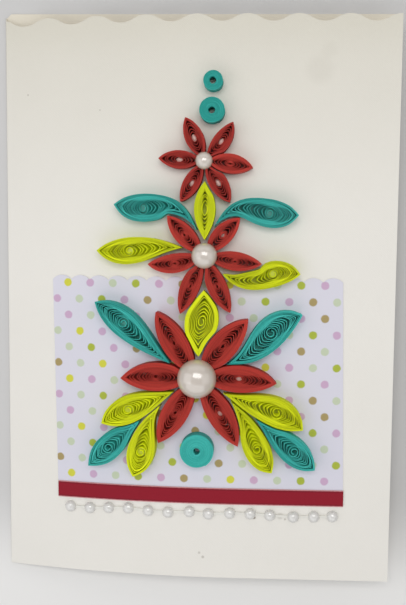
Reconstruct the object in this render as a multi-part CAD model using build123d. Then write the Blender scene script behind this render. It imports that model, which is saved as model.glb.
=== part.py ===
"""Quilled paper greeting card: a folded sheet that carries coiled paper flowers, leaves and pearls.

The card lies on its back. X runs from the fold to the free edge, Y runs up the card and Z points
out of its face. The origin is the middle of the underside. Millimetres throughout.
Places on the bowed cover are given along the sheet: the way from the fold, and the height Y.
"""
import math
import os

from build123d import *

# Folded sheet
CARD_HEIGHT = 210.0
PANEL_WIDTH = 145.0
CARD_THICKNESS = 0.3
FOLD_INNER_RADIUS = 0.25
BOW_ANGLE = 12.4
BOW_LENGTH = 90.0
COVER_TRIM = 2.5
CORNER_NIP = 2.0
SCALLOP_SPACING = 18.3
SCALLOP_DEPTH = 2.6
OVERRUN = 20.0

# Flat papers glued on the cover
GLUE_FILM = 0.05
PAPER_THICKNESS = 0.18
PAPER_WIDTH = 108.0
PAPER_HEIGHT = 85.0
PAPER_FROM_FOLD = 18.0
PAPER_FOOT_BELOW_MIDDLE = 76.6
PAPER_LEAN = 1.8
PAPER_SCALLOPS = 15
PAPER_SCALLOP_DEPTH = 1.6
RIBBON_HEIGHT = 6.2
RIBBON_THICKNESS = 0.25

# Quilling strip and the gap that is left where two coils touch
STRIP_WIDTH = 5.0
COIL_GAP = 0.25

# Half pearls in the flowers, with the sides and levels of their facets
LARGE_PEARL_RADIUS = 7.15
MEDIUM_PEARL_RADIUS = 4.65
SMALL_PEARL_RADIUS = 3.1
PEARL_RISE_SHARE = 0.86
PEARL_CROWN_SHARE = 0.45
LARGE_PEARL_FACETS = (20, 5)
MEDIUM_PEARL_FACETS = (16, 4)
SMALL_PEARL_FACETS = (12, 3)
BEAD_FACETS = (10, 2)

# Bead string below the ribbon
BEAD_RADIUS = 2.15
BEAD_SPACING = 7.64
BEAD_COUNT = 14
BEAD_FROM_FOLD = 24.6
BEAD_BELOW_RIBBON = 3.6
THREAD_WIDTH = 0.9
THREAD_HEIGHT = 0.35
THREAD_PLAY = 0.15

# Flowers, from the large one up
LARGE_FLOWER_FROM_FOLD = 73.4
LARGE_FLOWER_ABOVE_PAPER_FOOT = 48.2
LARGE_PETAL_REACH = 28.6
LARGE_PETAL_WIDTH = 10.2
MEDIUM_PETAL_REACH = 20.5
MEDIUM_PETAL_WIDTH = 7.3
SMALL_PETAL_REACH = 17.0
SMALL_PETAL_WIDTH = 6.7
MEDIUM_FLOWER_SHIFT = 2.3
SMALL_FLOWER_SHIFT = -0.4
MEDIUM_PETALS_OPEN_SHARE = 0.6
SMALL_PETALS_OPEN_SHARE = 0.42

# Long leaves between the flowers
LOWER_MARQUISE_LENGTH = 24.4
LOWER_MARQUISE_WIDTH = 12.4
UPPER_MARQUISE_LENGTH = 21.2
UPPER_MARQUISE_WIDTH = 7.9
MARQUISE_TUCK = 0.8

# Leaves at the sides
SWIRL_LENGTH = 32.6
SWIRL_WIDTH = 10.4
SIDE_LEAF_LENGTH = 33.0
SIDE_LEAF_WIDTH = 10.0
WING_LENGTH = 38.0
WING_WIDTH = 10.6
SPRAY_LENGTH = 31.4
SPRAY_WIDTH = 10.4

# Tight round coils
LARGE_DISC_RADIUS = 6.25
MEDIUM_DISC_RADIUS = 4.6
SMALL_DISC_RADIUS = 3.55
DISC_HOLE_RADIUS = 1.3
STRIP_END_STEP = 0.2
LARGE_DISC_DROP = 27.0
MEDIUM_DISC_RISE = 17.8
MEDIUM_DISC_SHIFT = 2.5
SMALL_DISC_RISE = 10.3
SMALL_DISC_SHIFT = 0.3

# How a loose coil is wound, as shares of the way from its eye to its rim
RIM_POINTS = 24
SLOT_POINTS = 10
EYE_TURNS = 2.3
PETAL_EYE_TURNS = 2.0
SLOT_START_SHARE = 0.76
SLOT_END_SHARE = 0.24
SLOT_WIDTH_SHARE = 0.52
SLOT_TAPER_STEPS = 3
ROUNDING_SHARE = 0.8
SQUEEZE_STEP_SHARE = 0.985

FOLD_OUTER_RADIUS = FOLD_INNER_RADIUS + CARD_THICKNESS
FOLD_X = FOLD_OUTER_RADIUS - (FOLD_OUTER_RADIUS + PANEL_WIDTH) / 2
BOW_RADIUS = BOW_LENGTH / math.radians(BOW_ANGLE)
HALF_HEIGHT = CARD_HEIGHT / 2
COVER_TOP = HALF_HEIGHT - COVER_TRIM
PAPER_FOOT = -PAPER_FOOT_BELOW_MIDDLE
PAPER_TOP = PAPER_FOOT + PAPER_HEIGHT
BEAD_LINE = PAPER_FOOT - BEAD_BELOW_RIBBON

# Petals of each flower: name, direction in degrees, then reach, width and bow as shares
LARGE_PETAL_SHARES = [
    ("right", -3, 1.01, 1.0, 0.03),
    ("upper_right", 50, 1.0, 1.0, 0.02),
    ("upper_left", 122, 1.0, 0.95, 0.01),
    ("left", 181, 0.985, 1.05, -0.02),
    ("lower_left", 240, 0.985, 0.97, -0.01),
    ("lower_right", 301, 1.02, 0.95, 0.02),
]
MEDIUM_PETAL_SHARES = [
    ("right", -8, 1.02, 0.97, -0.02),
    ("upper_right", 47, 0.91, 1.0, 0.02),
    ("upper_left", 133, 0.96, 1.0, 0.01),
    ("left", 189, 1.02, 1.0, 0.06),
    ("lower_left", 248, 1.12, 0.98, -0.02),
    ("lower_right", 295, 1.11, 1.0, -0.02),
]
SMALL_PETAL_SHARES = [
    ("right", -8, 1.03, 1.07, 0.02),
    ("upper_right", 53.5, 1.01, 0.96, -0.045),
    ("upper_left", 114, 0.99, 1.03, 0.0),
    ("left", 177, 0.97, 1.0, 0.0),
    ("lower_left", 240, 0.99, 0.92, 0.01),
    ("lower_right", 302, 1.03, 1.03, 0.01),
]
PETAL_FOOT_SHARE = 0.15
PETAL_FULLNESS_SHARE = 0.85

# Leaves of each kind. Foot: direction from the flower's centre and share of its petals' reach.
# Then the leaf's direction, and its length, width, belly, bow, sway and fullness as shares.
SWIRL_SHARES = [
    ("left", (104, 0.41), 162, (1.0, 1.0), (0.67, -0.135, -0.06, 0.88)),
    ("right", (77, 0.46), 10, (0.98, 1.0), (0.68, 0.15, 0.06, 0.8)),
]
SIDE_LEAF_SHARES = [
    ("left", (158, 0.34), 182, (1.0, 1.0), (0.63, 0.0, -0.018, 0.88)),
    ("right", (-48, 0.35), -2, (0.9, 0.96), (0.64, -0.064, -0.055, 0.8)),
]
WING_SHARES = [
    ("left", (153, 0.31), 142, (1.0, 0.98), (0.65, -0.01, 0.01, 0.88)),
    ("right", (27, 0.41), 34, (0.87, 1.07), (0.6, 0.0, -0.04, 0.9)),
]
SPRAY_SHARES = [
    ("left_top", (213, 0.31), 205, (0.98, 1.0), (0.63, -0.018, 0.005, 0.85)),
    ("left_foot", (216, 0.5), 248, (1.0, 1.0), (0.69, -0.055, -0.024, 0.92)),
    ("left_middle", (217, 0.83), 223, (0.93, 0.94), (0.64, 0.0, 0.0, 1.0)),
    ("right_top", (-29, 0.36), -24.5, (1.04, 1.04), (0.65, 0.045, -0.02, 0.82)),
    ("right_foot", (-32, 0.49), -60, (1.0, 0.95), (0.67, 0.006, 0.02, 0.8)),
    ("right_middle", (-34, 0.88), -40.5, (0.94, 0.96), (0.65, 0.0, 0.0, 0.86)),
]
LOWER_MARQUISE_SHARES = (0.53, 0.0, 0.02, 1.0)
UPPER_MARQUISE_SHARES = (0.53, 0.0, 0.0, 0.95)
LOWER_MARQUISE_HEADING = 86
UPPER_MARQUISE_HEADING = 90

# Where each bead strays from an even row, along it and across it, as shares of its radius
BEAD_DRIFT_SHARES = [
    (0.0, 0.0), (0.05, -0.05), (-0.1, 0.2), (-0.1, 0.35), (-0.1, 0.05), (-0.15, -0.05), (0.05, 0.2),
    (-0.15, -0.1), (0.0, 0.15), (0.0, 0.1), (-0.15, -0.1), (0.35, -0.3), (0.35, -0.2), (0.0, -0.1),
]


def cover_slope(along):
    """Slope angle of the cover, in radians, this far along the sheet from the fold."""
    return max(math.radians(BOW_ANGLE) - along / BOW_RADIUS, 0)


def cover_point(along, lift):
    """X and Z of a point that lies the lift above the cover's face."""
    start = math.radians(BOW_ANGLE)
    slope = cover_slope(along)
    x = FOLD_X - FOLD_OUTER_RADIUS * math.sin(start) + BOW_RADIUS * (math.sin(start) - math.sin(slope))
    z = FOLD_OUTER_RADIUS * (1 + math.cos(start)) + BOW_RADIUS * (math.cos(slope) - math.cos(start))
    x += max(along - BOW_LENGTH, 0)
    return x - lift * math.sin(slope), z + lift * math.cos(slope)


def cover_plane(along, y, lift):
    """Plane that touches the cover at one place, raised by the lift."""
    slope = cover_slope(along)
    x, z = cover_point(along, lift)
    return Plane(
        origin=(x, y, z),
        x_dir=(math.cos(slope), 0, math.sin(slope)),
        z_dir=(-math.sin(slope), 0, math.cos(slope)),
    )


def cover_band(low, high, first, last):
    """Slab that follows the cover between two lifts, from one distance along it to another."""
    arc_end = min(max(BOW_LENGTH, first), last)
    edges = []
    for lift in (low, high):
        start = cover_point(first, lift)
        middle = cover_point((first + arc_end) / 2, lift)
        end = cover_point(arc_end, lift)
        stop = cover_point(last, lift)
        edges.append((start, middle, end, stop))
    with BuildSketch(Plane.XZ) as section:
        with BuildLine():
            for start, middle, end, stop in edges:
                ThreePointArc(start, middle, end)
                if last > arc_end:
                    Line(end, stop)
            Line(edges[0][0], edges[1][0])
            Line(edges[0][3], edges[1][3])
        make_face()
    return extrude(section.sketch, CARD_HEIGHT, both=True)


def fold_point(radius, angle):
    """Point of the fold's round, at an angle in degrees from its lowest point."""
    turn = math.radians(angle)
    return FOLD_X - radius * math.sin(turn), FOLD_OUTER_RADIUS - radius * math.cos(turn)


def make_folded_card():
    """One sheet folded at the left: a flat back panel and a bowed cover with a scalloped top."""
    free_x = FOLD_X + PANEL_WIDTH
    turn_end = 180 - BOW_ANGLE
    with BuildSketch(Plane.XZ) as section:
        with BuildLine():
            for radius, lift in ((FOLD_OUTER_RADIUS, 0), (FOLD_INNER_RADIUS, -CARD_THICKNESS)):
                Line((free_x, -lift), fold_point(radius, 0))
                ThreePointArc(
                    fold_point(radius, 0),
                    fold_point(radius, turn_end / 2),
                    fold_point(radius, turn_end),
                )
                ThreePointArc(
                    cover_point(0, lift),
                    cover_point(BOW_LENGTH / 2, lift),
                    cover_point(BOW_LENGTH, lift),
                )
                Line(cover_point(BOW_LENGTH, lift), cover_point(PANEL_WIDTH, lift))
            Line((free_x, 0), (free_x, CARD_THICKNESS))
            Line(cover_point(PANEL_WIDTH, 0), cover_point(PANEL_WIDTH, -CARD_THICKNESS))
        make_face()
    sheet = extrude(section.sketch, HALF_HEIGHT, both=True)
    return sheet - make_cover_trim() - make_corner_nip()


def make_cover_trim():
    """Block above the cover's scalloped edge: round dips and round peaks that flow together."""
    peak = cover_point(PANEL_WIDTH, 0)[0]
    quarter = SCALLOP_SPACING / 4
    middle = COVER_TOP - SCALLOP_DEPTH / 2
    waves = math.ceil(PANEL_WIDTH / SCALLOP_SPACING) + 1
    top = HALF_HEIGHT + OVERRUN
    right = peak + quarter
    left = right - waves * SCALLOP_SPACING
    with BuildSketch(Plane.XY.offset(FOLD_OUTER_RADIUS)) as outline:
        with BuildLine():
            for wave in range(waves):
                start = right - wave * SCALLOP_SPACING
                ThreePointArc(
                    (start, middle), (start - quarter, COVER_TOP), (start - 2 * quarter, middle)
                )
                ThreePointArc(
                    (start - 2 * quarter, middle),
                    (start - 3 * quarter, COVER_TOP - SCALLOP_DEPTH),
                    (start - 4 * quarter, middle),
                )
            Polyline((left, middle), (left, top), (right, top), (right, middle))
        make_face()
    return extrude(outline.sketch, OVERRUN)


def make_corner_nip():
    """Small slanting nip at the top of the fold."""
    left = FOLD_X - FOLD_OUTER_RADIUS
    with BuildSketch() as outline:
        Polygon(
            (left - OVERRUN, HALF_HEIGHT - CORNER_NIP - OVERRUN),
            (left + CORNER_NIP + OVERRUN, HALF_HEIGHT + OVERRUN),
            (left - OVERRUN, HALF_HEIGHT + OVERRUN),
            align=None,
        )
    return extrude(outline.sketch, OVERRUN)


def make_dotted_paper():
    """Patterned paper on the lower half, with a row of small bumps cut along its top."""
    pitch = PAPER_WIDTH / PAPER_SCALLOPS
    valley = PAPER_TOP - PAPER_SCALLOP_DEPTH
    last = PAPER_FROM_FOLD + PAPER_WIDTH
    with BuildSketch() as outline:
        with BuildLine():
            for bump in range(PAPER_SCALLOPS):
                start = PAPER_FROM_FOLD + bump * pitch
                ThreePointArc(
                    (cover_point(start, 0)[0], valley),
                    (cover_point(start + pitch / 2, 0)[0], PAPER_TOP),
                    (cover_point(start + pitch, 0)[0], valley),
                )
            Polyline(
                (cover_point(PAPER_FROM_FOLD, 0)[0], valley),
                (cover_point(PAPER_FROM_FOLD + PAPER_LEAN, 0)[0], PAPER_FOOT),
                (cover_point(last + PAPER_LEAN, 0)[0], PAPER_FOOT),
                (cover_point(last, 0)[0], valley),
            )
        make_face()
    slab = cover_band(GLUE_FILM, GLUE_FILM + PAPER_THICKNESS, 0, PANEL_WIDTH)
    return extrude(outline.sketch, OVERRUN) & slab


def make_ribbon():
    """Dark red paper ribbon over the foot of the patterned paper."""
    low = 2 * GLUE_FILM + PAPER_THICKNESS
    first = PAPER_FROM_FOLD + PAPER_LEAN
    slab = cover_band(low, low + RIBBON_THICKNESS, first, first + PAPER_WIDTH)
    strip = Pos(0, PAPER_FOOT + RIBBON_HEIGHT / 2, 0) * Box(2 * CARD_HEIGHT, RIBBON_HEIGHT, CARD_HEIGHT)
    return slab & strip


def bead_places():
    """Place of each bead: how far along the sheet it is, and its height."""
    places = []
    for bead in range(BEAD_COUNT):
        along_share, across_share = BEAD_DRIFT_SHARES[bead % len(BEAD_DRIFT_SHARES)]
        along = BEAD_FROM_FOLD + bead * BEAD_SPACING + along_share * BEAD_RADIUS
        places.append((along, BEAD_LINE + across_share * BEAD_RADIUS))
    return places


def make_thread():
    """Flat thread that runs along the cover and through the groove under every bead."""
    places = bead_places()
    half = THREAD_WIDTH / 2
    above = [(cover_point(along, 0)[0], y + half) for along, y in places]
    below = [(cover_point(along, 0)[0], y - half) for along, y in places]
    with BuildSketch() as outline:
        Polygon(*above, *reversed(below), align=None)
    slab = cover_band(GLUE_FILM, GLUE_FILM + THREAD_HEIGHT, 0, PANEL_WIDTH)
    return extrude(outline.sketch, OVERRUN) & slab


def ring_points(radius, height, sides):
    """Corners of one level ring of a dome."""
    steps = [2 * math.pi * (side + 0.5) / sides for side in range(sides)]
    return [Vector(radius * math.cos(step), radius * math.sin(step), height) for step in steps]


def make_dome(radius, facets):
    """Half pearl with a flat back, in flat facets whose corners lie on a flattened ball."""
    sides, levels = facets
    rings = []
    for level in range(levels + 1):
        climb = math.radians(90) * level / (levels + PEARL_CROWN_SHARE)
        height = radius * PEARL_RISE_SHARE * math.sin(climb)
        rings.append(ring_points(radius * math.cos(climb), height, sides))
    faces = [Face(Wire.make_polygon(rings[0])), Face(Wire.make_polygon(rings[-1]))]
    for lower, upper in zip(rings, rings[1:]):
        for side in range(sides):
            after = (side + 1) % sides
            corners = [lower[side], lower[after], upper[after], upper[side]]
            faces.append(Face(Wire.make_polygon(corners)))
    return Solid(Shell(faces))


def make_bead(index):
    """Small half pearl of the string, grooved underneath for the thread."""
    along, y = bead_places()[index]
    groove_width = THREAD_WIDTH + 4 * THREAD_PLAY
    groove_height = THREAD_HEIGHT + THREAD_PLAY
    groove = Pos(0, 0, groove_height / 2) * Box(3 * BEAD_RADIUS, groove_width, groove_height)
    bead = make_dome(BEAD_RADIUS, BEAD_FACETS) - groove
    return cover_plane(along, y, GLUE_FILM).location * bead


def distance_to_edge(point, start, end):
    """Distance from a point to a straight edge."""
    run = (end[0] - start[0], end[1] - start[1])
    reach = (point[0] - start[0]) * run[0] + (point[1] - start[1]) * run[1]
    share = min(max(reach / (run[0] ** 2 + run[1] ** 2), 0), 1)
    return math.hypot(point[0] - start[0] - share * run[0], point[1] - start[1] - share * run[1])


def is_inside(point, rim):
    """Whether a point lies inside a closed outline, by counting the edges to its right."""
    crossings = 0
    for start, end in zip(rim, rim[1:] + rim[:1]):
        if (start[1] > point[1]) != (end[1] > point[1]):
            rise = (point[1] - start[1]) / (end[1] - start[1])
            crossings += point[0] < start[0] + rise * (end[0] - start[0])
    return crossings % 2 == 1


def is_clear(point, rim):
    """Whether a point is outside an outline by at least the gap between coils."""
    edges = zip(rim, rim[1:] + rim[:1])
    return not is_inside(point, rim) and min(distance_to_edge(point, *edge) for edge in edges) >= COIL_GAP


class Coil:
    """A strip wound into a loose coil and pinched at both ends.

    It is laid out along a spine from its foot to its tip. The strip's turns are rings about the
    eye, at shares of the way from the eye to the rim, and they grow rounder towards the eye.
    """

    def __init__(self, foot, heading, length, width, belly_share=0.5, bow_share=0.0,
                 sway_share=0.0, fullness_share=PETAL_FULLNESS_SHARE, eye_turns=EYE_TURNS):
        self.foot = foot
        self.heading = math.radians(heading)
        self.length = length
        self.width = width
        self.belly_share = belly_share
        self.bow_share = bow_share
        self.sway_share = sway_share
        self.fullness_share = fullness_share
        self.eye_turns = eye_turns
        self.squeeze_shares = [1.0] * RIM_POINTS

    def spine(self, share):
        """Point of the spine at a share of its length, bowed to one side and swayed like an S."""
        bow = self.bow_share * 4 * share * (1 - share)
        sway = self.sway_share * math.sin(2 * math.pi * share)
        ahead = self.length * share
        aside = self.length * (bow + sway)
        cos, sin = math.cos(self.heading), math.sin(self.heading)
        return self.foot[0] + cos * ahead - sin * aside, self.foot[1] + sin * ahead + cos * aside

    def spine_angle(self, share):
        """Direction of the spine at a share of its length, in radians."""
        bow = self.bow_share * 4 * (1 - 2 * share)
        sway = self.sway_share * 2 * math.pi * math.cos(2 * math.pi * share)
        return self.heading + math.atan(bow + sway)

    def half_width(self, share):
        """Half of the width across the spine: nothing at both pinched ends, full at the belly."""
        warped = share ** (math.log(0.5) / math.log(self.belly_share))
        return self.width / 2 * max(4 * warped * (1 - warped), 0) ** self.fullness_share

    def squeeze(self, step):
        """How far the rim is squeezed in at a step round it, which may lie between two corners."""
        low = self.squeeze_shares[int(step)]
        high = self.squeeze_shares[(int(step) + 1) % RIM_POINTS]
        return low + (high - low) * (step % 1)

    def point(self, index, share):
        """Point of the ring at a share of the way from the eye to the rim."""
        half = RIM_POINTS / 2
        step = index % RIM_POINTS
        along = step / half if step <= half else 2 - step / half
        side = -1 if step <= half else 1
        ring = share * self.squeeze(step)
        rounding = ROUNDING_SHARE * (1 - share) ** 2
        turn = math.pi * step / half
        ahead = (1 - rounding) * (along - self.belly_share) * self.length
        ahead -= rounding * self.width / 2 * math.cos(turn)
        aside = (1 - rounding) * side * self.half_width(along)
        aside -= rounding * self.width / 2 * math.sin(turn)
        place = self.belly_share + ring * ahead / self.length
        x, y = self.spine(place)
        angle = self.spine_angle(place)
        return x - ring * aside * math.sin(angle), y + ring * aside * math.cos(angle)

    def rim(self):
        """Corners of the outline, from the foot round to the foot again."""
        return [self.point(index, 1) for index in range(RIM_POINTS)]

    def settle(self, neighbours):
        """Squeeze the coil where it would press into coils that are already glued down."""
        near = [other.rim() for other in neighbours if self.is_near(other)]
        for index in range(RIM_POINTS):
            if all(is_clear(self.point(index, 1), rim) for rim in near):
                continue
            low, high = 0.0, 1.0
            for _ in range(20):
                self.squeeze_shares[index] = (low + high) / 2
                if all(is_clear(self.point(index, 1), rim) for rim in near):
                    low = self.squeeze_shares[index]
                else:
                    high = self.squeeze_shares[index]
            self.squeeze_shares[index] = low
        for rim in near:
            for corner in rim:
                self.give_way(corner)

    def give_way(self, corner):
        """Squeeze the rim where a neighbour's corner pokes between two of its own."""
        rim = self.rim()
        while not is_clear(corner, rim):
            edges = list(zip(rim, rim[1:] + rim[:1]))
            nearest = min(range(RIM_POINTS), key=lambda index: distance_to_edge(corner, *edges[index]))
            for index in (nearest, (nearest + 1) % RIM_POINTS):
                self.squeeze_shares[index] *= SQUEEZE_STEP_SHARE
            rim = self.rim()

    def eye(self):
        """Centre of the innermost turn."""
        return self.spine(self.belly_share)

    def is_near(self, other):
        """Whether two coils could touch."""
        here, there = self.eye(), other.eye()
        return math.hypot(here[0] - there[0], here[1] - there[1]) < self.length + other.length

    def slot(self):
        """Corners of the gap between the turns, which winds in from the dense tip to the eye."""
        steps = int(self.eye_turns * SLOT_POINTS)
        pitch = (SLOT_START_SHARE - SLOT_END_SHARE) / self.eye_turns
        outer = []
        inner = []
        for step in range(steps + 1):
            index = RIM_POINTS / 2 + step * RIM_POINTS / SLOT_POINTS
            share = SLOT_START_SHARE - pitch * step / SLOT_POINTS
            outer.append(self.point(index, share))
            if step <= steps - SLOT_POINTS:
                width = pitch * SLOT_WIDTH_SHARE * min(1, (step + 1) / SLOT_TAPER_STEPS)
                inner.append(self.point(index, share - width))
        return outer + inner[::-1]

    def make(self):
        """Solid of the coil, standing on edge on the cover."""
        eye = self.eye()
        rim = self.rim()
        lift = base_lift(min(y for _, y in rim))
        with BuildSketch() as face:
            Polygon(*[(x - eye[0], y - eye[1]) for x, y in rim], align=None)
            Polygon(*[(x - eye[0], y - eye[1]) for x, y in self.slot()], align=None, mode=Mode.SUBTRACT)
        return cover_plane(*eye, lift).location * extrude(face.sketch, STRIP_WIDTH)


def base_lift(lowest_y):
    """Height of a coil's underside above the cover: on the card, or on the patterned paper."""
    on_paper = lowest_y < PAPER_TOP
    return GLUE_FILM + (PAPER_THICKNESS + GLUE_FILM if on_paper else 0)


def make_disc(radius, place):
    """Tight coil: a ring whose outline steps in by one strip where the strip's end is glued."""
    sides = RIM_POINTS
    corners = []
    for side in range(sides + 1):
        turn = math.radians(300) + 2 * math.pi * side / sides
        reach = radius - STRIP_END_STEP * side / sides
        corners.append((reach * math.cos(turn), reach * math.sin(turn)))
    with BuildSketch() as face:
        Polygon(*corners, align=None)
        RegularPolygon(DISC_HOLE_RADIUS, sides // 2, mode=Mode.SUBTRACT)
    lift = base_lift(place[1] - radius)
    return cover_plane(*place, lift).location * extrude(face.sketch, STRIP_WIDTH)


def make_petals(centre, reach, width, shares, eye_turns):
    """Six pinched coils about a flower's centre."""
    petals = {}
    foot = PETAL_FOOT_SHARE * width
    for name, heading, reach_share, width_share, bow_share in shares:
        petals[name] = Coil(
            beside(centre, foot, heading), heading, reach * reach_share - foot, width * width_share,
            bow_share=bow_share, eye_turns=eye_turns,
        )
    return petals


def make_pearl(centre, radius, petal_reach, facets):
    """Half pearl glued on the inner ends of the petals."""
    petal_rise = (petal_reach / 2) ** 2 / (2 * BOW_RADIUS)
    lift = base_lift(centre[1] - petal_reach) + STRIP_WIDTH + petal_rise + GLUE_FILM
    return cover_plane(*centre, lift).location * make_dome(radius, facets)


def beside(centre, distance, direction):
    """Place at a distance and direction from a flower's centre."""
    turn = math.radians(direction)
    return centre[0] + distance * math.cos(turn), centre[1] + distance * math.sin(turn)


def lay_out_flowers():
    """Centres of the flowers: the long leaves between them set how far apart they are."""
    large = (LARGE_FLOWER_FROM_FOLD, PAPER_FOOT + LARGE_FLOWER_ABOVE_PAPER_FOOT)
    lower_foot = large[1] + LARGE_PEARL_RADIUS + MARQUISE_TUCK
    medium_y = lower_foot + LOWER_MARQUISE_LENGTH + MEDIUM_PETALS_OPEN_SHARE * MEDIUM_PETAL_REACH
    medium = (large[0] + MEDIUM_FLOWER_SHIFT, medium_y)
    upper_foot = medium[1] + MEDIUM_PEARL_RADIUS + MARQUISE_TUCK
    small_y = upper_foot + UPPER_MARQUISE_LENGTH + SMALL_PETALS_OPEN_SHARE * SMALL_PETAL_REACH
    small = (medium[0] + SMALL_FLOWER_SHIFT, small_y)
    return large, medium, small


def lay_out_leaves(large, medium):
    """Every leaf, from the ones glued first to the ones tucked in last."""
    lower_foot = beside(large, LARGE_PEARL_RADIUS + MARQUISE_TUCK, LOWER_MARQUISE_HEADING)
    upper_foot = beside(medium, MEDIUM_PEARL_RADIUS + MARQUISE_TUCK, UPPER_MARQUISE_HEADING)
    leaves = {
        "lower_marquise": Coil(
            lower_foot, LOWER_MARQUISE_HEADING,
            LOWER_MARQUISE_LENGTH, LOWER_MARQUISE_WIDTH, *LOWER_MARQUISE_SHARES,
        ),
        "upper_marquise": Coil(
            upper_foot, UPPER_MARQUISE_HEADING,
            UPPER_MARQUISE_LENGTH, UPPER_MARQUISE_WIDTH, *UPPER_MARQUISE_SHARES,
        ),
    }
    kinds = [
        ("swirl_leaf", medium, MEDIUM_PETAL_REACH, SWIRL_LENGTH, SWIRL_WIDTH, SWIRL_SHARES),
        ("side_leaf", medium, MEDIUM_PETAL_REACH, SIDE_LEAF_LENGTH, SIDE_LEAF_WIDTH, SIDE_LEAF_SHARES),
        ("wing_leaf", large, LARGE_PETAL_REACH, WING_LENGTH, WING_WIDTH, WING_SHARES),
        ("spray_leaf", large, LARGE_PETAL_REACH, SPRAY_LENGTH, SPRAY_WIDTH, SPRAY_SHARES),
    ]
    for kind, centre, reach, length, width, rows in kinds:
        for name, (direction, reach_share), heading, (length_share, width_share), form in rows:
            foot = beside(centre, reach * reach_share, direction)
            leaves[f"{kind}_{name}"] = Coil(
                foot, heading, length * length_share, width * width_share, *form
            )
    return leaves


def make_coils(large, medium, small):
    """Every pinched coil, each squeezed against the ones before it."""
    coils = {}
    flowers = [
        ("large", large, LARGE_PETAL_REACH, LARGE_PETAL_WIDTH, LARGE_PETAL_SHARES, EYE_TURNS),
        ("medium", medium, MEDIUM_PETAL_REACH, MEDIUM_PETAL_WIDTH, MEDIUM_PETAL_SHARES, PETAL_EYE_TURNS),
        ("small", small, SMALL_PETAL_REACH, SMALL_PETAL_WIDTH, SMALL_PETAL_SHARES, PETAL_EYE_TURNS),
    ]
    for flower, centre, reach, width, shares, turns in flowers:
        for name, petal in make_petals(centre, reach, width, shares, turns).items():
            coils[f"{flower}_petal_{name}"] = petal
    coils.update(lay_out_leaves(large, medium))
    settled = []
    for coil in coils.values():
        coil.settle(settled)
        settled.append(coil)
    return {name: coil.make() for name, coil in coils.items()}


def make_card():
    """All pieces of the card by name."""
    large, medium, small = lay_out_flowers()
    medium_disc = (small[0] + MEDIUM_DISC_SHIFT, small[1] + MEDIUM_DISC_RISE)
    small_disc = (medium_disc[0] + SMALL_DISC_SHIFT, medium_disc[1] + SMALL_DISC_RISE)
    pieces = {
        "folded_card": make_folded_card(),
        "dotted_paper": make_dotted_paper(),
        "red_ribbon": make_ribbon(),
        "bead_thread": make_thread(),
        "large_pearl": make_pearl(large, LARGE_PEARL_RADIUS, LARGE_PETAL_REACH, LARGE_PEARL_FACETS),
        "medium_pearl": make_pearl(
            medium, MEDIUM_PEARL_RADIUS, MEDIUM_PETAL_REACH, MEDIUM_PEARL_FACETS
        ),
        "small_pearl": make_pearl(small, SMALL_PEARL_RADIUS, SMALL_PETAL_REACH, SMALL_PEARL_FACETS),
        "large_disc": make_disc(LARGE_DISC_RADIUS, (large[0], large[1] - LARGE_DISC_DROP)),
        "medium_disc": make_disc(MEDIUM_DISC_RADIUS, medium_disc),
        "small_disc": make_disc(SMALL_DISC_RADIUS, small_disc),
    }
    for bead in range(BEAD_COUNT):
        pieces[f"bead_{bead + 1:02d}"] = make_bead(bead)
    pieces.update(make_coils(large, medium, small))
    return pieces


os.makedirs("parts", exist_ok=True)
for node, shape in make_card().items():
    export_step(shape, f"parts/{node}.step")
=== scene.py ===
"""Looks of the quilled paper greeting card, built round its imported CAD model.

Lengths are in metres. A place on the bowed cover is the way along the sheet from the fold, and the
height Y. A coil is wound in its own level frame, which is measured from the CAD piece it stands for.
"""
import logging
import math
from dataclasses import dataclass, replace
from enum import Enum
from typing import Any, Sequence

import bpy
import numpy as np
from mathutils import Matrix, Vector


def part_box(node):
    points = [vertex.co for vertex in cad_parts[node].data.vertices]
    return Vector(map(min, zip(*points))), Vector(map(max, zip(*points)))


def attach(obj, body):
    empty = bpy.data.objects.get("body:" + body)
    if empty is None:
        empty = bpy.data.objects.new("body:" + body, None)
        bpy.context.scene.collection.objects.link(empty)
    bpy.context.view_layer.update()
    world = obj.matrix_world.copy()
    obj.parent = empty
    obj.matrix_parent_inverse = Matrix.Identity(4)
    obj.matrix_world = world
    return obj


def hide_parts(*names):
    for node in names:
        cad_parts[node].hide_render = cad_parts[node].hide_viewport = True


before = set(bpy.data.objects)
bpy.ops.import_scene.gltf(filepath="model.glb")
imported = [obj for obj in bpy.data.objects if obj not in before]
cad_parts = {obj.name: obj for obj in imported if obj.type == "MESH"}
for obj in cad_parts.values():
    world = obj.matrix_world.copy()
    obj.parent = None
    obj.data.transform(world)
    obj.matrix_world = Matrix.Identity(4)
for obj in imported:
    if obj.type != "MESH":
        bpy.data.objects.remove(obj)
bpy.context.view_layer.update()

LOG = logging.getLogger("card")
MM = 0.001
BODY = "root"
SHARP_ANGLE = math.radians(35)
TINY = 1e-12


class Close(Enum):
    """How the end of a row of rings is closed."""

    FLAT = "flat"
    POINT = "point"


def linear(red: float, green: float, blue: float) -> tuple[float, float, float, float]:
    """Scene-linear colour of a display colour: straight near black, a power of 2.4 above.

    Args:
        red: Red from 0 to 255.
        green: Green from 0 to 255.
        blue: Blue from 0 to 255.

    Returns:
        Red, green, blue and an alpha of 1.
    """
    shares = np.array([red, green, blue]) / 255
    values = np.where(shares <= 0.04045, shares / 12.92, ((shares + 0.055) / 1.055) ** 2.4)
    return (*[float(value) for value in values], 1.0)


def smooth_step(share: np.ndarray) -> np.ndarray:
    """Share from 0 to 1 that starts and ends level."""
    share = np.clip(share, 0.0, 1.0)
    return share * share * (3 - 2 * share)


def phase_of(name: str, limit: int) -> int:
    """Whole number below a limit that stays the same for a name."""
    return sum((place + 1) * ord(letter) for place, letter in enumerate(name)) % limit


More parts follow.
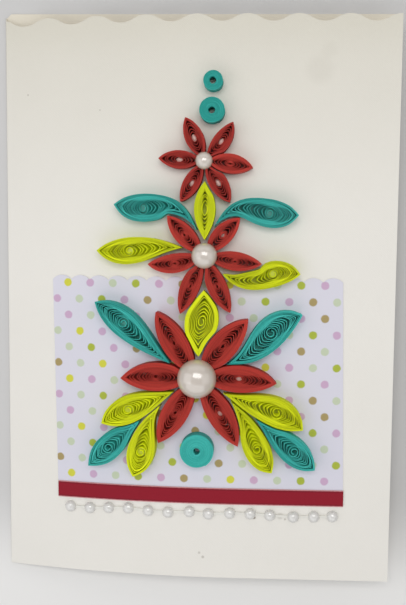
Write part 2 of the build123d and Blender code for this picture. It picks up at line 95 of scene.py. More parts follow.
def skin(rings: np.ndarray, start: Close, end: Close) -> tuple[np.ndarray, list[tuple[int, ...]]]:
    """Closed surface over a row of rings.

    Args:
        rings: Points of each ring, as an array of rings by sides by 3.
        start: How the first ring is closed.
        end: How the last ring is closed.

    Returns:
        The vertices, and the faces as tuples of vertex numbers.
    """
    rows, sides = rings.shape[:2]
    vertices = rings.reshape(-1, 3)
    row, side = np.meshgrid(np.arange(rows - 1), np.arange(sides), indexing="ij")
    after = (side + 1) % sides
    quads = np.stack(
        [row * sides + side, row * sides + after, (row + 1) * sides + after, (row + 1) * sides + side],
        axis=-1,
    ).reshape(-1, 4)
    faces = [tuple(quad) for quad in quads.tolist()]
    for ring, close, turned in ((0, start, True), (rows - 1, end, False)):
        corners = [ring * sides + corner for corner in range(sides)]
        if turned:
            corners.reverse()
        if close is Close.FLAT:
            faces.append(tuple(corners))
            continue
        pole = len(vertices)
        vertices = np.vstack([vertices, rings[ring].mean(axis=0)])
        faces += [(corner, follower, pole) for corner, follower in zip(corners, corners[1:] + corners[:1])]
    return vertices, faces


def is_inside_out(vertices: np.ndarray, faces: list[tuple[int, ...]]) -> bool:
    """Whether a closed surface's faces look inwards, from the volume that its four-cornered faces span.

    Args:
        vertices: Points of the surface.
        faces: Tuples of vertex numbers.

    Returns:
        True if the volume comes out below zero.
    """
    quads = np.array([face for face in faces if len(face) == 4])
    corners = vertices[quads] - vertices.mean(axis=0)
    first = np.einsum("ij,ij->i", corners[:, 0], np.cross(corners[:, 1], corners[:, 2]))
    second = np.einsum("ij,ij->i", corners[:, 0], np.cross(corners[:, 2], corners[:, 3]))
    return float((first + second).sum()) < 0


def make_object(
    name: str, vertices: np.ndarray, faces: list[tuple[int, ...]], **attributes: np.ndarray
) -> bpy.types.Object:
    """Mesh object at the origin, with its faces outwards and named values on its vertices.

    Args:
        name: Name of the piece.
        vertices: Points in the row frame.
        faces: Tuples of vertex numbers.
        **attributes: Values on the vertices: one number each, or three.

    Returns:
        The linked object.
    """
    if is_inside_out(vertices, faces):
        faces = [face[::-1] for face in faces]
    mesh = bpy.data.meshes.new(name)
    mesh.from_pydata(vertices.tolist(), [], faces)
    mesh.update()
    for key, values in attributes.items():
        kind = "FLOAT" if values.ndim == 1 else "FLOAT_VECTOR"
        layer = mesh.attributes.new(key, kind, "POINT")
        layer.data.foreach_set("value" if values.ndim == 1 else "vector", values.astype(np.float32).ravel())
    mesh.polygons.foreach_set("use_smooth", np.ones(len(mesh.polygons), dtype=bool))
    mesh.set_sharp_from_angle(angle=SHARP_ANGLE)
    piece = bpy.data.objects.new(name, mesh)
    bpy.context.scene.collection.objects.link(piece)
    return piece


def dress(piece: bpy.types.Object, material: bpy.types.Material) -> None:
    """Give a finished piece its material and its body, and report it.

    Args:
        piece: The finished piece.
        material: Its look.
    """
    piece.data.materials.append(material)
    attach(piece, BODY)
    LOG.info("%s: %d vertices", piece.name, len(piece.data.vertices))


def stand_for(piece: bpy.types.Object, node: str, material: bpy.types.Material) -> None:
    """Put a finished piece in the place of its CAD node."""
    dress(piece, material)
    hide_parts(node)


class Signal:
    """A number in a shader. Sums of signals become Math nodes."""

    def __init__(self, nodes: "Nodes", socket: bpy.types.NodeSocket) -> None:
        """Wrap one output socket of a node tree."""
        self.nodes = nodes
        self.socket = socket

    def math(self, operation: str, other: Any = None, swapped: bool = False) -> "Signal":
        """Math node of this signal and another one or a number.

        Args:
            operation: What the node works out.
            other: The second signal or number, if the operation takes one.
            swapped: Whether the other one comes first.

        Returns:
            The result as a signal.
        """
        values = [self] if other is None else [self, other]
        if swapped:
            values.reverse()
        inputs = dict(enumerate(values))
        return self.nodes.signal("ShaderNodeMath", {"operation": operation}, inputs)

    def __add__(self, other: Any) -> "Signal":
        """Sum."""
        return self.math("ADD", other)

    def __sub__(self, other: Any) -> "Signal":
        """Difference."""
        return self.math("SUBTRACT", other)

    def __rsub__(self, other: Any) -> "Signal":
        """Difference from a number."""
        return self.math("SUBTRACT", other, swapped=True)

    def __mul__(self, other: Any) -> "Signal":
        """Product."""
        return self.math("MULTIPLY", other)

    def __truediv__(self, other: Any) -> "Signal":
        """Quotient."""
        return self.math("DIVIDE", other)

    def __pow__(self, other: Any) -> "Signal":
        """Power."""
        return self.math("POWER", other)

    __radd__ = __add__
    __rmul__ = __mul__

    def remainder(self, divisor: float) -> "Signal":
        """Remainder from 0 up to the divisor, for signals below 0 too."""
        return self.math("FLOORED_MODULO", divisor)

    def ease(self, start: float, stop: float) -> "Signal":
        """Smooth step between two values of this signal.

        Args:
            start: Where it leaves 0. It may be the larger one.
            stop: Where it reaches 1.

        Returns:
            The share from 0 to 1.
        """
        settings = {"interpolation_type": "SMOOTHSTEP"}
        inputs = {"Value": self, "From Min": start, "From Max": stop, "To Min": 0.0, "To Max": 1.0}
        return self.nodes.signal("ShaderNodeMapRange", settings, inputs, "Result")


class Nodes:
    """The node tree of one material."""

    def __init__(self, name: str) -> None:
        """Start a material with the plain surface shader."""
        self.material = bpy.data.materials.new(name)
        self.material.use_nodes = True
        self.tree = self.material.node_tree
        self.shader = self.tree.nodes["Principled BSDF"]

    def add(self, kind: str, settings: dict[str, Any], inputs: dict[Any, Any]) -> bpy.types.Node:
        """New node, with its settings first and then its inputs.

        Args:
            kind: The node's type.
            settings: Its settings by name.
            inputs: A signal, a socket or a constant for each input's name or number.

        Returns:
            The node.
        """
        node = self.tree.nodes.new(kind)
        for key, value in settings.items():
            setattr(node, key, value)
        for key, value in inputs.items():
            self.feed(node.inputs[key], value)
        return node

    def feed(self, socket: bpy.types.NodeSocket, value: Any) -> None:
        """Set a socket to a constant, or link a signal or another socket to it.

        Args:
            socket: The input.
            value: The constant, signal or socket.
        """
        source = value.socket if isinstance(value, Signal) else value
        if isinstance(source, bpy.types.NodeSocket):
            self.tree.links.new(source, socket)
        else:
            socket.default_value = source

    def signal(self, kind: str, settings: dict[str, Any], inputs: dict[Any, Any], output: Any = 0) -> Signal:
        """One output of a new node, as a signal."""
        return Signal(self, self.add(kind, settings, inputs).outputs[output])

    def attribute(self, name: str) -> Signal:
        """Number stored on the mesh under a name."""
        return self.signal("ShaderNodeAttribute", {"attribute_name": name}, {}, "Fac")

    def place(self) -> tuple[bpy.types.NodeSocket, Signal, Signal]:
        """Place stored on the mesh, in millimetres.

        Returns:
            The whole vector, the way along and the height.
        """
        vector = self.add("ShaderNodeAttribute", {"attribute_name": "place"}, {}).outputs["Vector"]
        parts = self.add("ShaderNodeSeparateXYZ", {}, {0: vector})
        return vector, Signal(self, parts.outputs[0]), Signal(self, parts.outputs[1])

    def object_place(self) -> bpy.types.NodeSocket:
        """Object coordinates."""
        return self.add("ShaderNodeTexCoord", {}, {}).outputs["Object"]

    def noise(self, place: Any, scale: float, detail: float = 2.0, roughness: float = 0.5) -> Signal:
        """Soft noise about one half."""
        inputs = {"Vector": place, "Scale": scale, "Detail": detail, "Roughness": roughness}
        return self.signal("ShaderNodeTexNoise", {}, inputs)

    def mix(self, share: Any, first: Any, second: Any) -> bpy.types.NodeSocket:
        """Colour between two colours."""
        inputs = {0: share, 6: first, 7: second}
        return self.add("ShaderNodeMix", {"data_type": "RGBA"}, inputs).outputs[2]

    def ramp(self, share: Any, colours: Sequence[Sequence[float]]) -> bpy.types.NodeSocket:
        """One of several colours, in equal steps.

        Args:
            share: Signal from 0 to 1 that picks the step.
            colours: The colours in order.

        Returns:
            The colour's socket.
        """
        node = self.add("ShaderNodeValToRGB", {}, {0: share})
        band = node.color_ramp
        band.interpolation = "CONSTANT"
        while len(band.elements) < len(colours):
            band.elements.new(1.0)
        for step, colour in enumerate(colours):
            band.elements[step].position = step / len(colours)
            band.elements[step].color = tuple(colour)
        return node.outputs["Color"]

    def bump(self, height: Any, distance: float) -> bpy.types.NodeSocket:
        """Normal that follows a height given in shares of the distance."""
        inputs = {"Height": height, "Distance": distance, "Strength": 1.0}
        return self.add("ShaderNodeBump", {}, inputs).outputs["Normal"]

    def finish(self, **inputs: Any) -> bpy.types.Material:
        """Feed the surface shader.

        Args:
            **inputs: Value of each input. An underscore in a name stands for a space.

        Returns:
            The finished material.
        """
        for key, value in inputs.items():
            self.feed(self.shader.inputs[key.replace("_", " ")], value)
        return self.material


@dataclass(frozen=True)
class Spot:
    """A soft round mark on a sheet, in millimetres along it and up it."""

    along: float
    height: float
    radius: float
    strength: float


@dataclass(frozen=True)
class CardFinish:
    """Warm white card with a fine woven emboss, soft mottling and a few small marks.

    Towards its top it is painted darker and yellower, most in the last stretch under the scallops:
    partly the card's yellowing, partly painted shade.
    """

    colour: tuple = linear(228, 225, 218)
    inside: tuple = linear(220, 213, 197)
    yellowed_and_shaded: tuple = linear(210, 206, 193)
    mark: tuple = linear(128, 118, 102)
    upper_part: tuple[float, float] = (10.0, 112.0)
    last_stretch: tuple[float, float] = (84.0, 106.0)
    cloud_scale: float = 0.035
    grain_scale: float = 1.6
    weave: float = 0.62
    emboss: float = 0.03 * MM
    spots: tuple = (
        Spot(116.0, 82.7, 7.0, 0.07),
        Spot(119.4, 89.7, 4.0, 0.05),
        Spot(74.4, -95.6, 0.7, 0.35),
        Spot(75.8, -97.2, 0.8, 0.4),
        Spot(8.4, 75.0, 0.5, 0.4),
        Spot(36.4, 68.9, 0.4, 0.4),
        Spot(104.6, -80.7, 1.7, 0.3),
        Spot(106.4, -81.9, 0.6, 0.4),
        Spot(94.9, -81.5, 0.8, 0.9),
        Spot(102.2, -75.7, 0.4, 0.4),
    )

    def build(self) -> bpy.types.Material:
        """Make the finish.

        Returns:
            The material.
        """
        nodes = Nodes("white_card")
        place, along, height = nodes.place()
        inner = nodes.attribute("inner")
        cloud = nodes.noise(place, self.cloud_scale, 3.0)
        grain = nodes.noise(place, self.grain_scale, 4.0, 0.7)
        mark = (cloud - 0.5) * 0.06 + (grain - 0.5) * 0.05
        for spot in self.spots:
            reach = ((along - spot.along) ** 2.0 + (height - spot.height) ** 2.0) ** 0.5
            mark = mark + reach.ease(spot.radius, spot.radius * 0.3) * spot.strength * (1.0 - inner)
        waves = 2 * math.pi / self.weave
        weave = (along * waves).math("SINE") * (height * waves).math("SINE")
        # painted shade and yellowing: the card darkens and yellows towards its top
        yellowing_and_shade = height.ease(*self.upper_part) * 0.75 + height.ease(*self.last_stretch) * 0.3
        yellowed_and_shaded = nodes.mix(yellowing_and_shade, self.colour, self.yellowed_and_shaded)
        face = nodes.mix(inner, yellowed_and_shaded, self.inside)
        return nodes.finish(
            Base_Color=nodes.mix(mark + 0.05, face, self.mark),
            Roughness=0.72,
            Normal=nodes.bump(weave * 0.5 + grain * 0.8, self.emboss),
        )


@dataclass(frozen=True)
class DotFinish:
    """Lavender white paper with rows of soft dots in five colours, offset by half a column.

    The first dot's place, the columns and the rows are in millimetres. Each row drifts a little
    along the one before.
    """

    colour: tuple = linear(208, 206, 217)
    cloud: tuple = linear(200, 199, 206)
    start: tuple[float, float] = (23.93, 5.636)
    column: float = 8.69
    row: float = 6.061
    drift: float = 0.093
    radius: float = 1.48
    softness: float = 0.24
    wobble: float = 0.35
    strength: float = 0.96
    grain_depth: float = 0.012 * MM
    cycle: tuple = (
        linear(200, 198, 28),
        linear(192, 158, 187),
        linear(186, 196, 168),
        linear(160, 172, 15),
        linear(192, 158, 187),
        linear(158, 138, 80),
        linear(186, 196, 168),
    )
    shifts: tuple = (0.0, -1.5, -1.0, 0.5, -2.0, 1.5)

    def build(self) -> bpy.types.Material:
        """Round dots by their distance from the nearest place of a lattice.

        Each row's cycle of colours starts at a shift of its own.

        Returns:
            The material.
        """
        nodes = Nodes("dotted_paper")
        place, along, height = nodes.place()
        row = ((self.start[1] - height) / self.row).math("ROUND")
        rows = len(self.shifts)
        step = (row.remainder(rows) + 0.5) / rows
        lowest = min(self.shifts)
        span = max(self.shifts) - lowest
        greys = [((shift - lowest) / span,) * 3 + (1.0,) for shift in self.shifts]
        shift = Signal(nodes, nodes.ramp(step, greys)) * span + lowest
        across = (along - self.start[0] - row * self.drift) / self.column - shift
        column = across.math("ROUND")
        aside = (across - column) * self.column
        above = self.start[1] - row * self.row - height
        wobble = (nodes.noise(place, 0.9) - 0.5) * self.wobble
        reach = (aside ** 2.0 + above ** 2.0) ** 0.5 + wobble
        dot = reach.ease(self.radius + self.softness, self.radius - self.softness)
        turn = (column.remainder(len(self.cycle)) + 0.5) / len(self.cycle)
        ink = nodes.ramp(turn, self.cycle)
        cloud = nodes.noise(place, 0.05, 3.0)
        sheet = nodes.mix((cloud - 0.35) * 0.25, self.colour, self.cloud)
        return nodes.finish(
            Base_Color=nodes.mix(dot * self.strength, sheet, ink),
            Roughness=0.6,
            Normal=nodes.bump(nodes.noise(place, 2.2, 3.0), self.grain_depth),
        )


@dataclass(frozen=True)
class RibbonFinish:
    """Maroon paper ribbon with a darker line inside each long edge and pale worn edges.

    Its middle, and the places of the line and the wear from there, are in millimetres.
    """

    colour: tuple = linear(138, 14, 35)
    shade: tuple = linear(108, 14, 31)
    fringe: tuple = linear(214, 156, 158)
    middle: float = -73.5
    line: tuple[float, float] = (2.0, 2.4)
    worn: tuple[float, float] = (2.68, 2.88)
    fibre_depth: float = 0.03 * MM

    def build(self) -> bpy.types.Material:
        """Make the finish.

        Returns:
            The material.
        """
        nodes = Nodes("maroon_ribbon")
        place, _along, height = nodes.place()
        edge = (height - self.middle).math("ABSOLUTE") + (nodes.noise(place, 1.4) - 0.5) * 0.3
        fibre = nodes.noise(place, 1.1, 4.0, 0.7)
        darker = edge.ease(*self.line) * 0.55 + (fibre - 0.5) * 0.5
        body = nodes.mix(darker, self.colour, self.shade)
        return nodes.finish(
            Base_Color=nodes.mix(edge.ease(*self.worn) * 0.7, body, self.fringe),
            Roughness=0.7,
            Specular_IOR_Level=0.25,
            Normal=nodes.bump(fibre, self.fibre_depth),
        )


@dataclass(frozen=True)
class StripFinish:
    """Coloured quilling strip: every turn a little lighter or darker, and fibrous on its edge."""

    name: str
    colour: tuple
    shade: tuple
    fibre_scale: float = 1400.0
    fibre_depth: float = 0.02 * MM
    turn_scale: float = 1.7

    def build(self) -> bpy.types.Material:
        """Colour by turn and fibre. A stored tone of 0.7 gives the shade, one of -0.3 the colour.

        Returns:
            The material.
        """
        nodes = Nodes(self.name)
        fibre = nodes.noise(nodes.object_place(), self.fibre_scale, 3.0, 0.7)
        steps = {"W": nodes.attribute("turn") * self.turn_scale, "Scale": 1.0, "Detail": 1.0}
        layer = nodes.signal("ShaderNodeTexNoise", {"noise_dimensions": "1D"}, steps)
        share = (layer - 0.5) * 1.1 + (fibre - 0.5) * 0.35 + nodes.attribute("tone") + 0.3
        return nodes.finish(
            Base_Color=nodes.mix(share, self.colour, self.shade),
            Roughness=0.7,
            Specular_IOR_Level=0.25,
            Normal=nodes.bump(fibre, self.fibre_depth),
        )


@dataclass(frozen=True)
class PearlFinish:
    """Cream pearl lacquer over plastic. It is painted darker between two shares of the rise, as
    painted shade and painted reflection towards the rim.
    """

    name: str
    colour: tuple
    rim: tuple
    painted_rim_shade: tuple[float, float] = (0.75, 0.1)
    cloud_scale: float = 350.0
    coat_roughness: float = 0.13
    coat_index: float = 1.85

    def build(self) -> bpy.types.Material:
        """Lacquer that is a little darker low on the dome: painted shade and painted reflection.

        Returns:
            The material.
        """
        nodes = Nodes(self.name)
        cloud = nodes.noise(nodes.object_place(), self.cloud_scale, 2.0)
        # painted shade and reflection: the lacquer darkens towards the rim of the dome
        share = nodes.attribute("rise").ease(*self.painted_rim_shade) * 0.8 + (cloud - 0.5) * 0.2
        return nodes.finish(
            Base_Color=nodes.mix(share, self.colour, self.rim),
            Roughness=0.32,
            Coat_Weight=1.0,
            Coat_Roughness=self.coat_roughness,
            Coat_IOR=self.coat_index,
        )


@dataclass(frozen=True)
class PlainFinish:
    """One even colour with a faint grain, down to a share of its brightness."""

    name: str
    colour: tuple
    roughness: float
    grain_scale: float = 500.0
    darkest: float = 0.85

    def build(self) -> bpy.types.Material:
        """Make the finish.

        Returns:
            The material.
        """
        nodes = Nodes(self.name)
        grain = nodes.noise(nodes.object_place(), self.grain_scale)
        darker = tuple(self.darkest * value for value in self.colour[:3]) + (1.0,)
        return nodes.finish(Base_Color=nodes.mix(grain, self.colour, darker), Roughness=self.roughness)


@dataclass(frozen=True)
class GlueShadeFinish:
    """Film of dried glue under a coil, tinted by the strip: painted shade at the bottom of the gaps.

    Pale patches where a noise is high are painted light.
    """

    name: str
    colour: tuple
    drop: tuple
    lit_patch_scale: float = 420.0
    lit_patch_start: tuple[float, float] = (0.6, 0.68)

    def build(self) -> bpy.types.Material:
        """Make the finish.

        Returns:
            The material.
        """
        nodes = Nodes(self.name)
        # painted light: pale patches on the film's painted shade, where a noise is high
        lit_patches = nodes.noise(nodes.object_place(), self.lit_patch_scale, 1.0).ease(*self.lit_patch_start)
        return nodes.finish(Base_Color=nodes.mix(lit_patches, self.colour, self.drop), Roughness=0.5)


@dataclass(frozen=True)
class TableFinish:
    """Matte grey table that gets paler towards the card's foot, between two places on Y."""

    far: tuple = linear(196, 195, 194)
    near: tuple = linear(226, 225, 223)
    start: float = -0.07
    stop: float = -0.115

    def build(self) -> bpy.types.Material:
        """Make the finish.

        Returns:
            The material.
        """
        nodes = Nodes("table_top")
        parts = nodes.add("ShaderNodeSeparateXYZ", {}, {0: nodes.object_place()})
        share = Signal(nodes, parts.outputs[1]).ease(self.start, self.stop)
        return nodes.finish(Base_Color=nodes.mix(share, self.far, self.near), Roughness=0.85)


@dataclass(frozen=True)
class Cover:
    """The bowed front sheet of the card: how long it is, and its bow from the fold on."""

    fold_x: float
    outer_radius: float = 0.55 * MM
    bow_angle: float = math.radians(12.4)
    bow_length: float = 90.0 * MM
    length: float = 145.0 * MM
    samples: int = 1000

    def slope(self, along: np.ndarray) -> np.ndarray:
        """Slope angle of the sheet: greatest at the fold, level from the end of the bow on."""
        return np.maximum(self.bow_angle * (1 - np.asarray(along) / self.bow_length), 0.0)

    def place(self, along: np.ndarray, height: np.ndarray, lift: np.ndarray) -> np.ndarray:
        """Points over the sheet: an arc from the fold, then straight on, raised square to the sheet.

        Args:
            along: Way along the sheet from the fold.
            height: Height Y on it.
            lift: Distance over its face.

        Returns:
            Points of the row frame, in the shape that the three have together.
        """
        along, height, lift = np.broadcast_arrays(along, height, lift)
        start, slope = self.bow_angle, self.slope(along)
        radius = self.bow_length / self.bow_angle
        x = self.fold_x - self.outer_radius * np.sin(start) + radius * (np.sin(start) - np.sin(slope))
        x = x + np.maximum(along - self.bow_length, 0.0) - lift * np.sin(slope)
        z = self.outer_radius * (1 + np.cos(start)) + radius * (np.cos(slope) - np.cos(start))
        return np.stack([x, height, z + lift * np.cos(slope)], axis=-1)

    def along_at(self, x: np.ndarray, lift: float) -> np.ndarray:
        """Way along the sheet of points over it, from their X."""
        table = np.linspace(0.0, self.length, self.samples)
        return np.interp(x, self.place(table, 0.0, lift)[..., 0], table)


@dataclass(frozen=True)
class FoldedCard:
    """The sheet of card, folded at the left, with a scalloped top on its cover.

    The cover is trimmed shorter than the back, and both are nipped off at the fold's upper end.
    The mesh is finer near the fold.
    """

    cover: Cover
    thickness: float = 0.3 * MM
    half_height: float = 105.0 * MM
    nip: float = 2.0 * MM
    trim: float = 2.5 * MM
    scallop: float = 18.3 * MM
    scallop_depth: float = 2.6 * MM
    near_fold: float = 4.0 * MM
    near_samples: int = 24
    back_samples: int = 40
    turn_samples: int = 18
    front_samples: int = 330
    back_start: float = 10.0 * MM

    def scalloped(self, x: np.ndarray) -> np.ndarray:
        """Top of the cover: equal arcs up and down in turn, with a peak at the free edge.

        Args:
            x: Places along X.

        Returns:
            Height of the edge at each.
        """
        quarter = self.scallop / 4
        rise = self.scallop_depth / 2
        radius = (quarter ** 2 + rise ** 2) / (2 * rise)
        peak = float(self.cover.place(self.cover.length, 0.0, 0.0)[0])
        step = np.round((peak - x) / (2 * quarter))
        aside = peak - x - step * 2 * quarter
        arc = np.sqrt(radius ** 2 - np.minimum(np.abs(aside), quarter) ** 2) - (radius - rise)
        return self.half_height - self.trim - rise + np.where(step % 2 == 0, arc, -arc)

    def section(self) -> tuple[np.ndarray, np.ndarray, np.ndarray, np.ndarray]:
        """Path from the back panel's free edge round the fold to the cover's free edge.

        Returns:
            X and Z of the outside, X and Z of the inside, the way along, and whether it is cover.
        """
        fold_x, outer, length = self.cover.fold_x, self.cover.outer_radius, self.cover.length
        near = fold_x + self.near_fold
        far_back = np.linspace(fold_x + length, near, self.back_samples)[:-1]
        back_x = np.concatenate([far_back, np.linspace(near, fold_x, self.near_samples)[:-1]])
        turn = np.linspace(0.0, math.pi - self.cover.bow_angle, self.turn_samples)[:-1]
        near_front = np.linspace(0.0, self.near_fold, self.near_samples)[:-1]
        along = np.concatenate([near_front, np.linspace(self.near_fold, length, self.front_samples)])
        sides = []
        for radius, lift in ((outer, 0.0), (outer - self.thickness, -self.thickness)):
            back = np.stack([back_x, np.full_like(back_x, -lift)], axis=-1)
            fold = np.stack([fold_x - radius * np.sin(turn), outer - radius * np.cos(turn)], axis=-1)
            front = self.cover.place(along, 0.0, lift)[:, [0, 2]]
            sides.append(np.concatenate([back, fold, front]))
        way = np.concatenate([fold_x - back_x - self.back_start, np.full(len(turn), 0.0), along])
        is_cover = np.concatenate([np.zeros(len(back_x) + len(turn)), np.ones(len(along))])
        return sides[0], sides[1], way, is_cover

    def build(self, material: bpy.types.Material) -> None:
        """The sheet as rings of four corners: the outside's foot and top, the inside's top and foot.

        Args:
            material: The card's look.
        """
        outside, inside, way, is_cover = self.section()
        left = self.cover.fold_x - self.cover.outer_radius
        rings = []
        for side, top in ((outside, False), (outside, True), (inside, True), (inside, False)):
            x, z = side[:, 0], side[:, 1]
            edge = np.where(is_cover > 0.5, self.scalloped(x), self.half_height)
            edge = np.minimum(edge, x - left + self.half_height - self.nip)
            rings.append(np.stack([x, edge if top else np.full_like(x, -self.half_height), z], axis=-1))
        rings = np.stack(rings, axis=1)
        vertices, faces = skin(rings, Close.FLAT, Close.FLAT)
        places = np.stack([np.repeat(way, 4), rings[..., 1].ravel(), rings[..., 2].ravel()], axis=-1) / MM
        inner = np.tile([0.0, 0.0, 1.0, 1.0], len(way))
        piece = make_object("card_sheet", vertices, faces, place=places, inner=inner)
        stand_for(piece, "folded_card", material)


@dataclass(frozen=True)
class FlatPaper:
    """A paper glued on the cover. Its sides lean towards the free edge at the foot."""

    name: str
    node: str
    slot: str
    first: float
    top: float
    low: float
    thickness: float
    steps: int
    lean: float = 0.0
    bumps: int = 0
    bump_depth: float = 0.0
    width: float = 108.0 * MM
    foot: float = -76.6 * MM

    def upper_edge(self, share: np.ndarray) -> np.ndarray:
        """Height of the top: level, or a row of equal arcs on level chords.

        Args:
            share: Shares of the width from 0 to 1.

        Returns:
            Height of the edge at each.
        """
        if not self.bumps:
            return np.full_like(share, self.top)
        pitch = self.width / self.bumps
        radius = ((pitch / 2) ** 2 + self.bump_depth ** 2) / (2 * self.bump_depth)
        aside = (share * self.bumps % 1.0 - 0.5) * pitch
        return self.top + (np.sqrt(np.maximum(radius ** 2 - aside ** 2, 0.0)) - radius)

    def build(self, cover: Cover, material: bpy.types.Material) -> None:
        """A thin slab that follows the cover, as rings of four corners.

        Args:
            cover: The sheet that it is glued on.
            material: The paper's look.
        """
        share = np.linspace(0.0, 1.0, 1 + self.steps)
        top = self.upper_edge(share)
        rings, places = [], []
        high = self.low + self.thickness
        for lift, upper in ((self.low, False), (self.low, True), (high, True), (high, False)):
            along = self.first + share * self.width + (0.0 if upper else self.lean)
            height = top if upper else np.full_like(share, self.foot)
            rings.append(cover.place(along, height, lift))
            places.append(np.stack([along, height, 0 * height + lift], axis=-1) / MM)
        vertices, faces = skin(np.stack(rings, axis=1), Close.FLAT, Close.FLAT)
        piece = make_object(self.name, vertices, faces, place=np.stack(places, axis=1).reshape(-1, 3))
        stand_for(piece, self.node, material)


class Seat:
    """The frame in which a CAD piece was drawn: level with the sheet under it, measured from its mesh.

    Corners that share a place on a fine grid are one corner. The underside is what looks down
    more steeply than a share of straight down.
    """

    GRID = MM / 1000
    STEEP = 0.7

    def __init__(self, node: str) -> None:
        """Measure a node: up is the mean of the downward faces, turned round, each by its area.

        Args:
            node: Name of the CAD node.
        """
        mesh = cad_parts[node].data
        mesh.calc_loop_triangles()
        points = np.empty(len(mesh.vertices) * 3)
        mesh.vertices.foreach_get("co", points)
        corners = np.empty(len(mesh.loop_triangles) * 3, dtype=np.int32)
        mesh.loop_triangles.foreach_get("vertices", corners)
        keys, numbers = np.unique(np.round(points.reshape(-1, 3) / self.GRID), axis=0, return_inverse=True)
        points = keys * self.GRID
        triangles = numbers.reshape(-1)[corners].reshape(-1, 3)
        first, second, third = (points[triangles[:, corner]] for corner in range(3))
        spread = np.cross(second - first, third - first)
        size = np.linalg.norm(spread, axis=1)
        under = spread[:, 2] < -self.STEEP * size
        self.up = -spread[under].sum(axis=0)
        self.up /= np.linalg.norm(self.up)
        self.ahead = np.array([self.up[2], 0.0, -self.up[0]])
        self.across = np.array([0.0, 1.0, 0.0])
        self.points = points @ np.stack([self.ahead, self.across, self.up], axis=1)
        self.underside = triangles[under]
        self.low = float(self.points[:, 2].min())
        self.high = float(self.points[:, 2].max())
        self.centre = (self.points[:, :2].min(axis=0) + self.points[:, :2].max(axis=0)) / 2

    def world(self, plan: np.ndarray, lift: np.ndarray) -> np.ndarray:
        """Points of the row frame from places in the plan and heights in the level frame."""
        return plan[..., :1] * self.ahead + plan[..., 1:2] * self.across + lift[..., None] * self.up

    def radius(self) -> float:
        """Greatest distance of the piece from its centre, in the plan."""
        return float(np.linalg.norm(self.points[:, :2] - self.centre, axis=1).max())

    def rim(self) -> np.ndarray:
        """Outline of the underside: its free edges, joined to loops, of which the widest counts.

        Returns:
            Corners in order, as places in the plan.
        """
        edges = np.concatenate([self.underside[:, pair] for pair in ([0, 1], [1, 2], [2, 0])])
        pairs = {tuple(edge) for edge in edges.tolist()}
        follower = {start: end for start, end in pairs if (end, start) not in pairs}
        best = np.zeros((0, 2))
        widest = 0.0
        while follower:
            start, place = follower.popitem()
            loop = [start]
            while place != start:
                loop.append(place)
                place = follower.pop(place)
            corners = self.points[loop, :2]
            spread = float(np.ptp(corners, axis=0).max())
            if spread > widest:
                best, widest = corners, spread
        return best


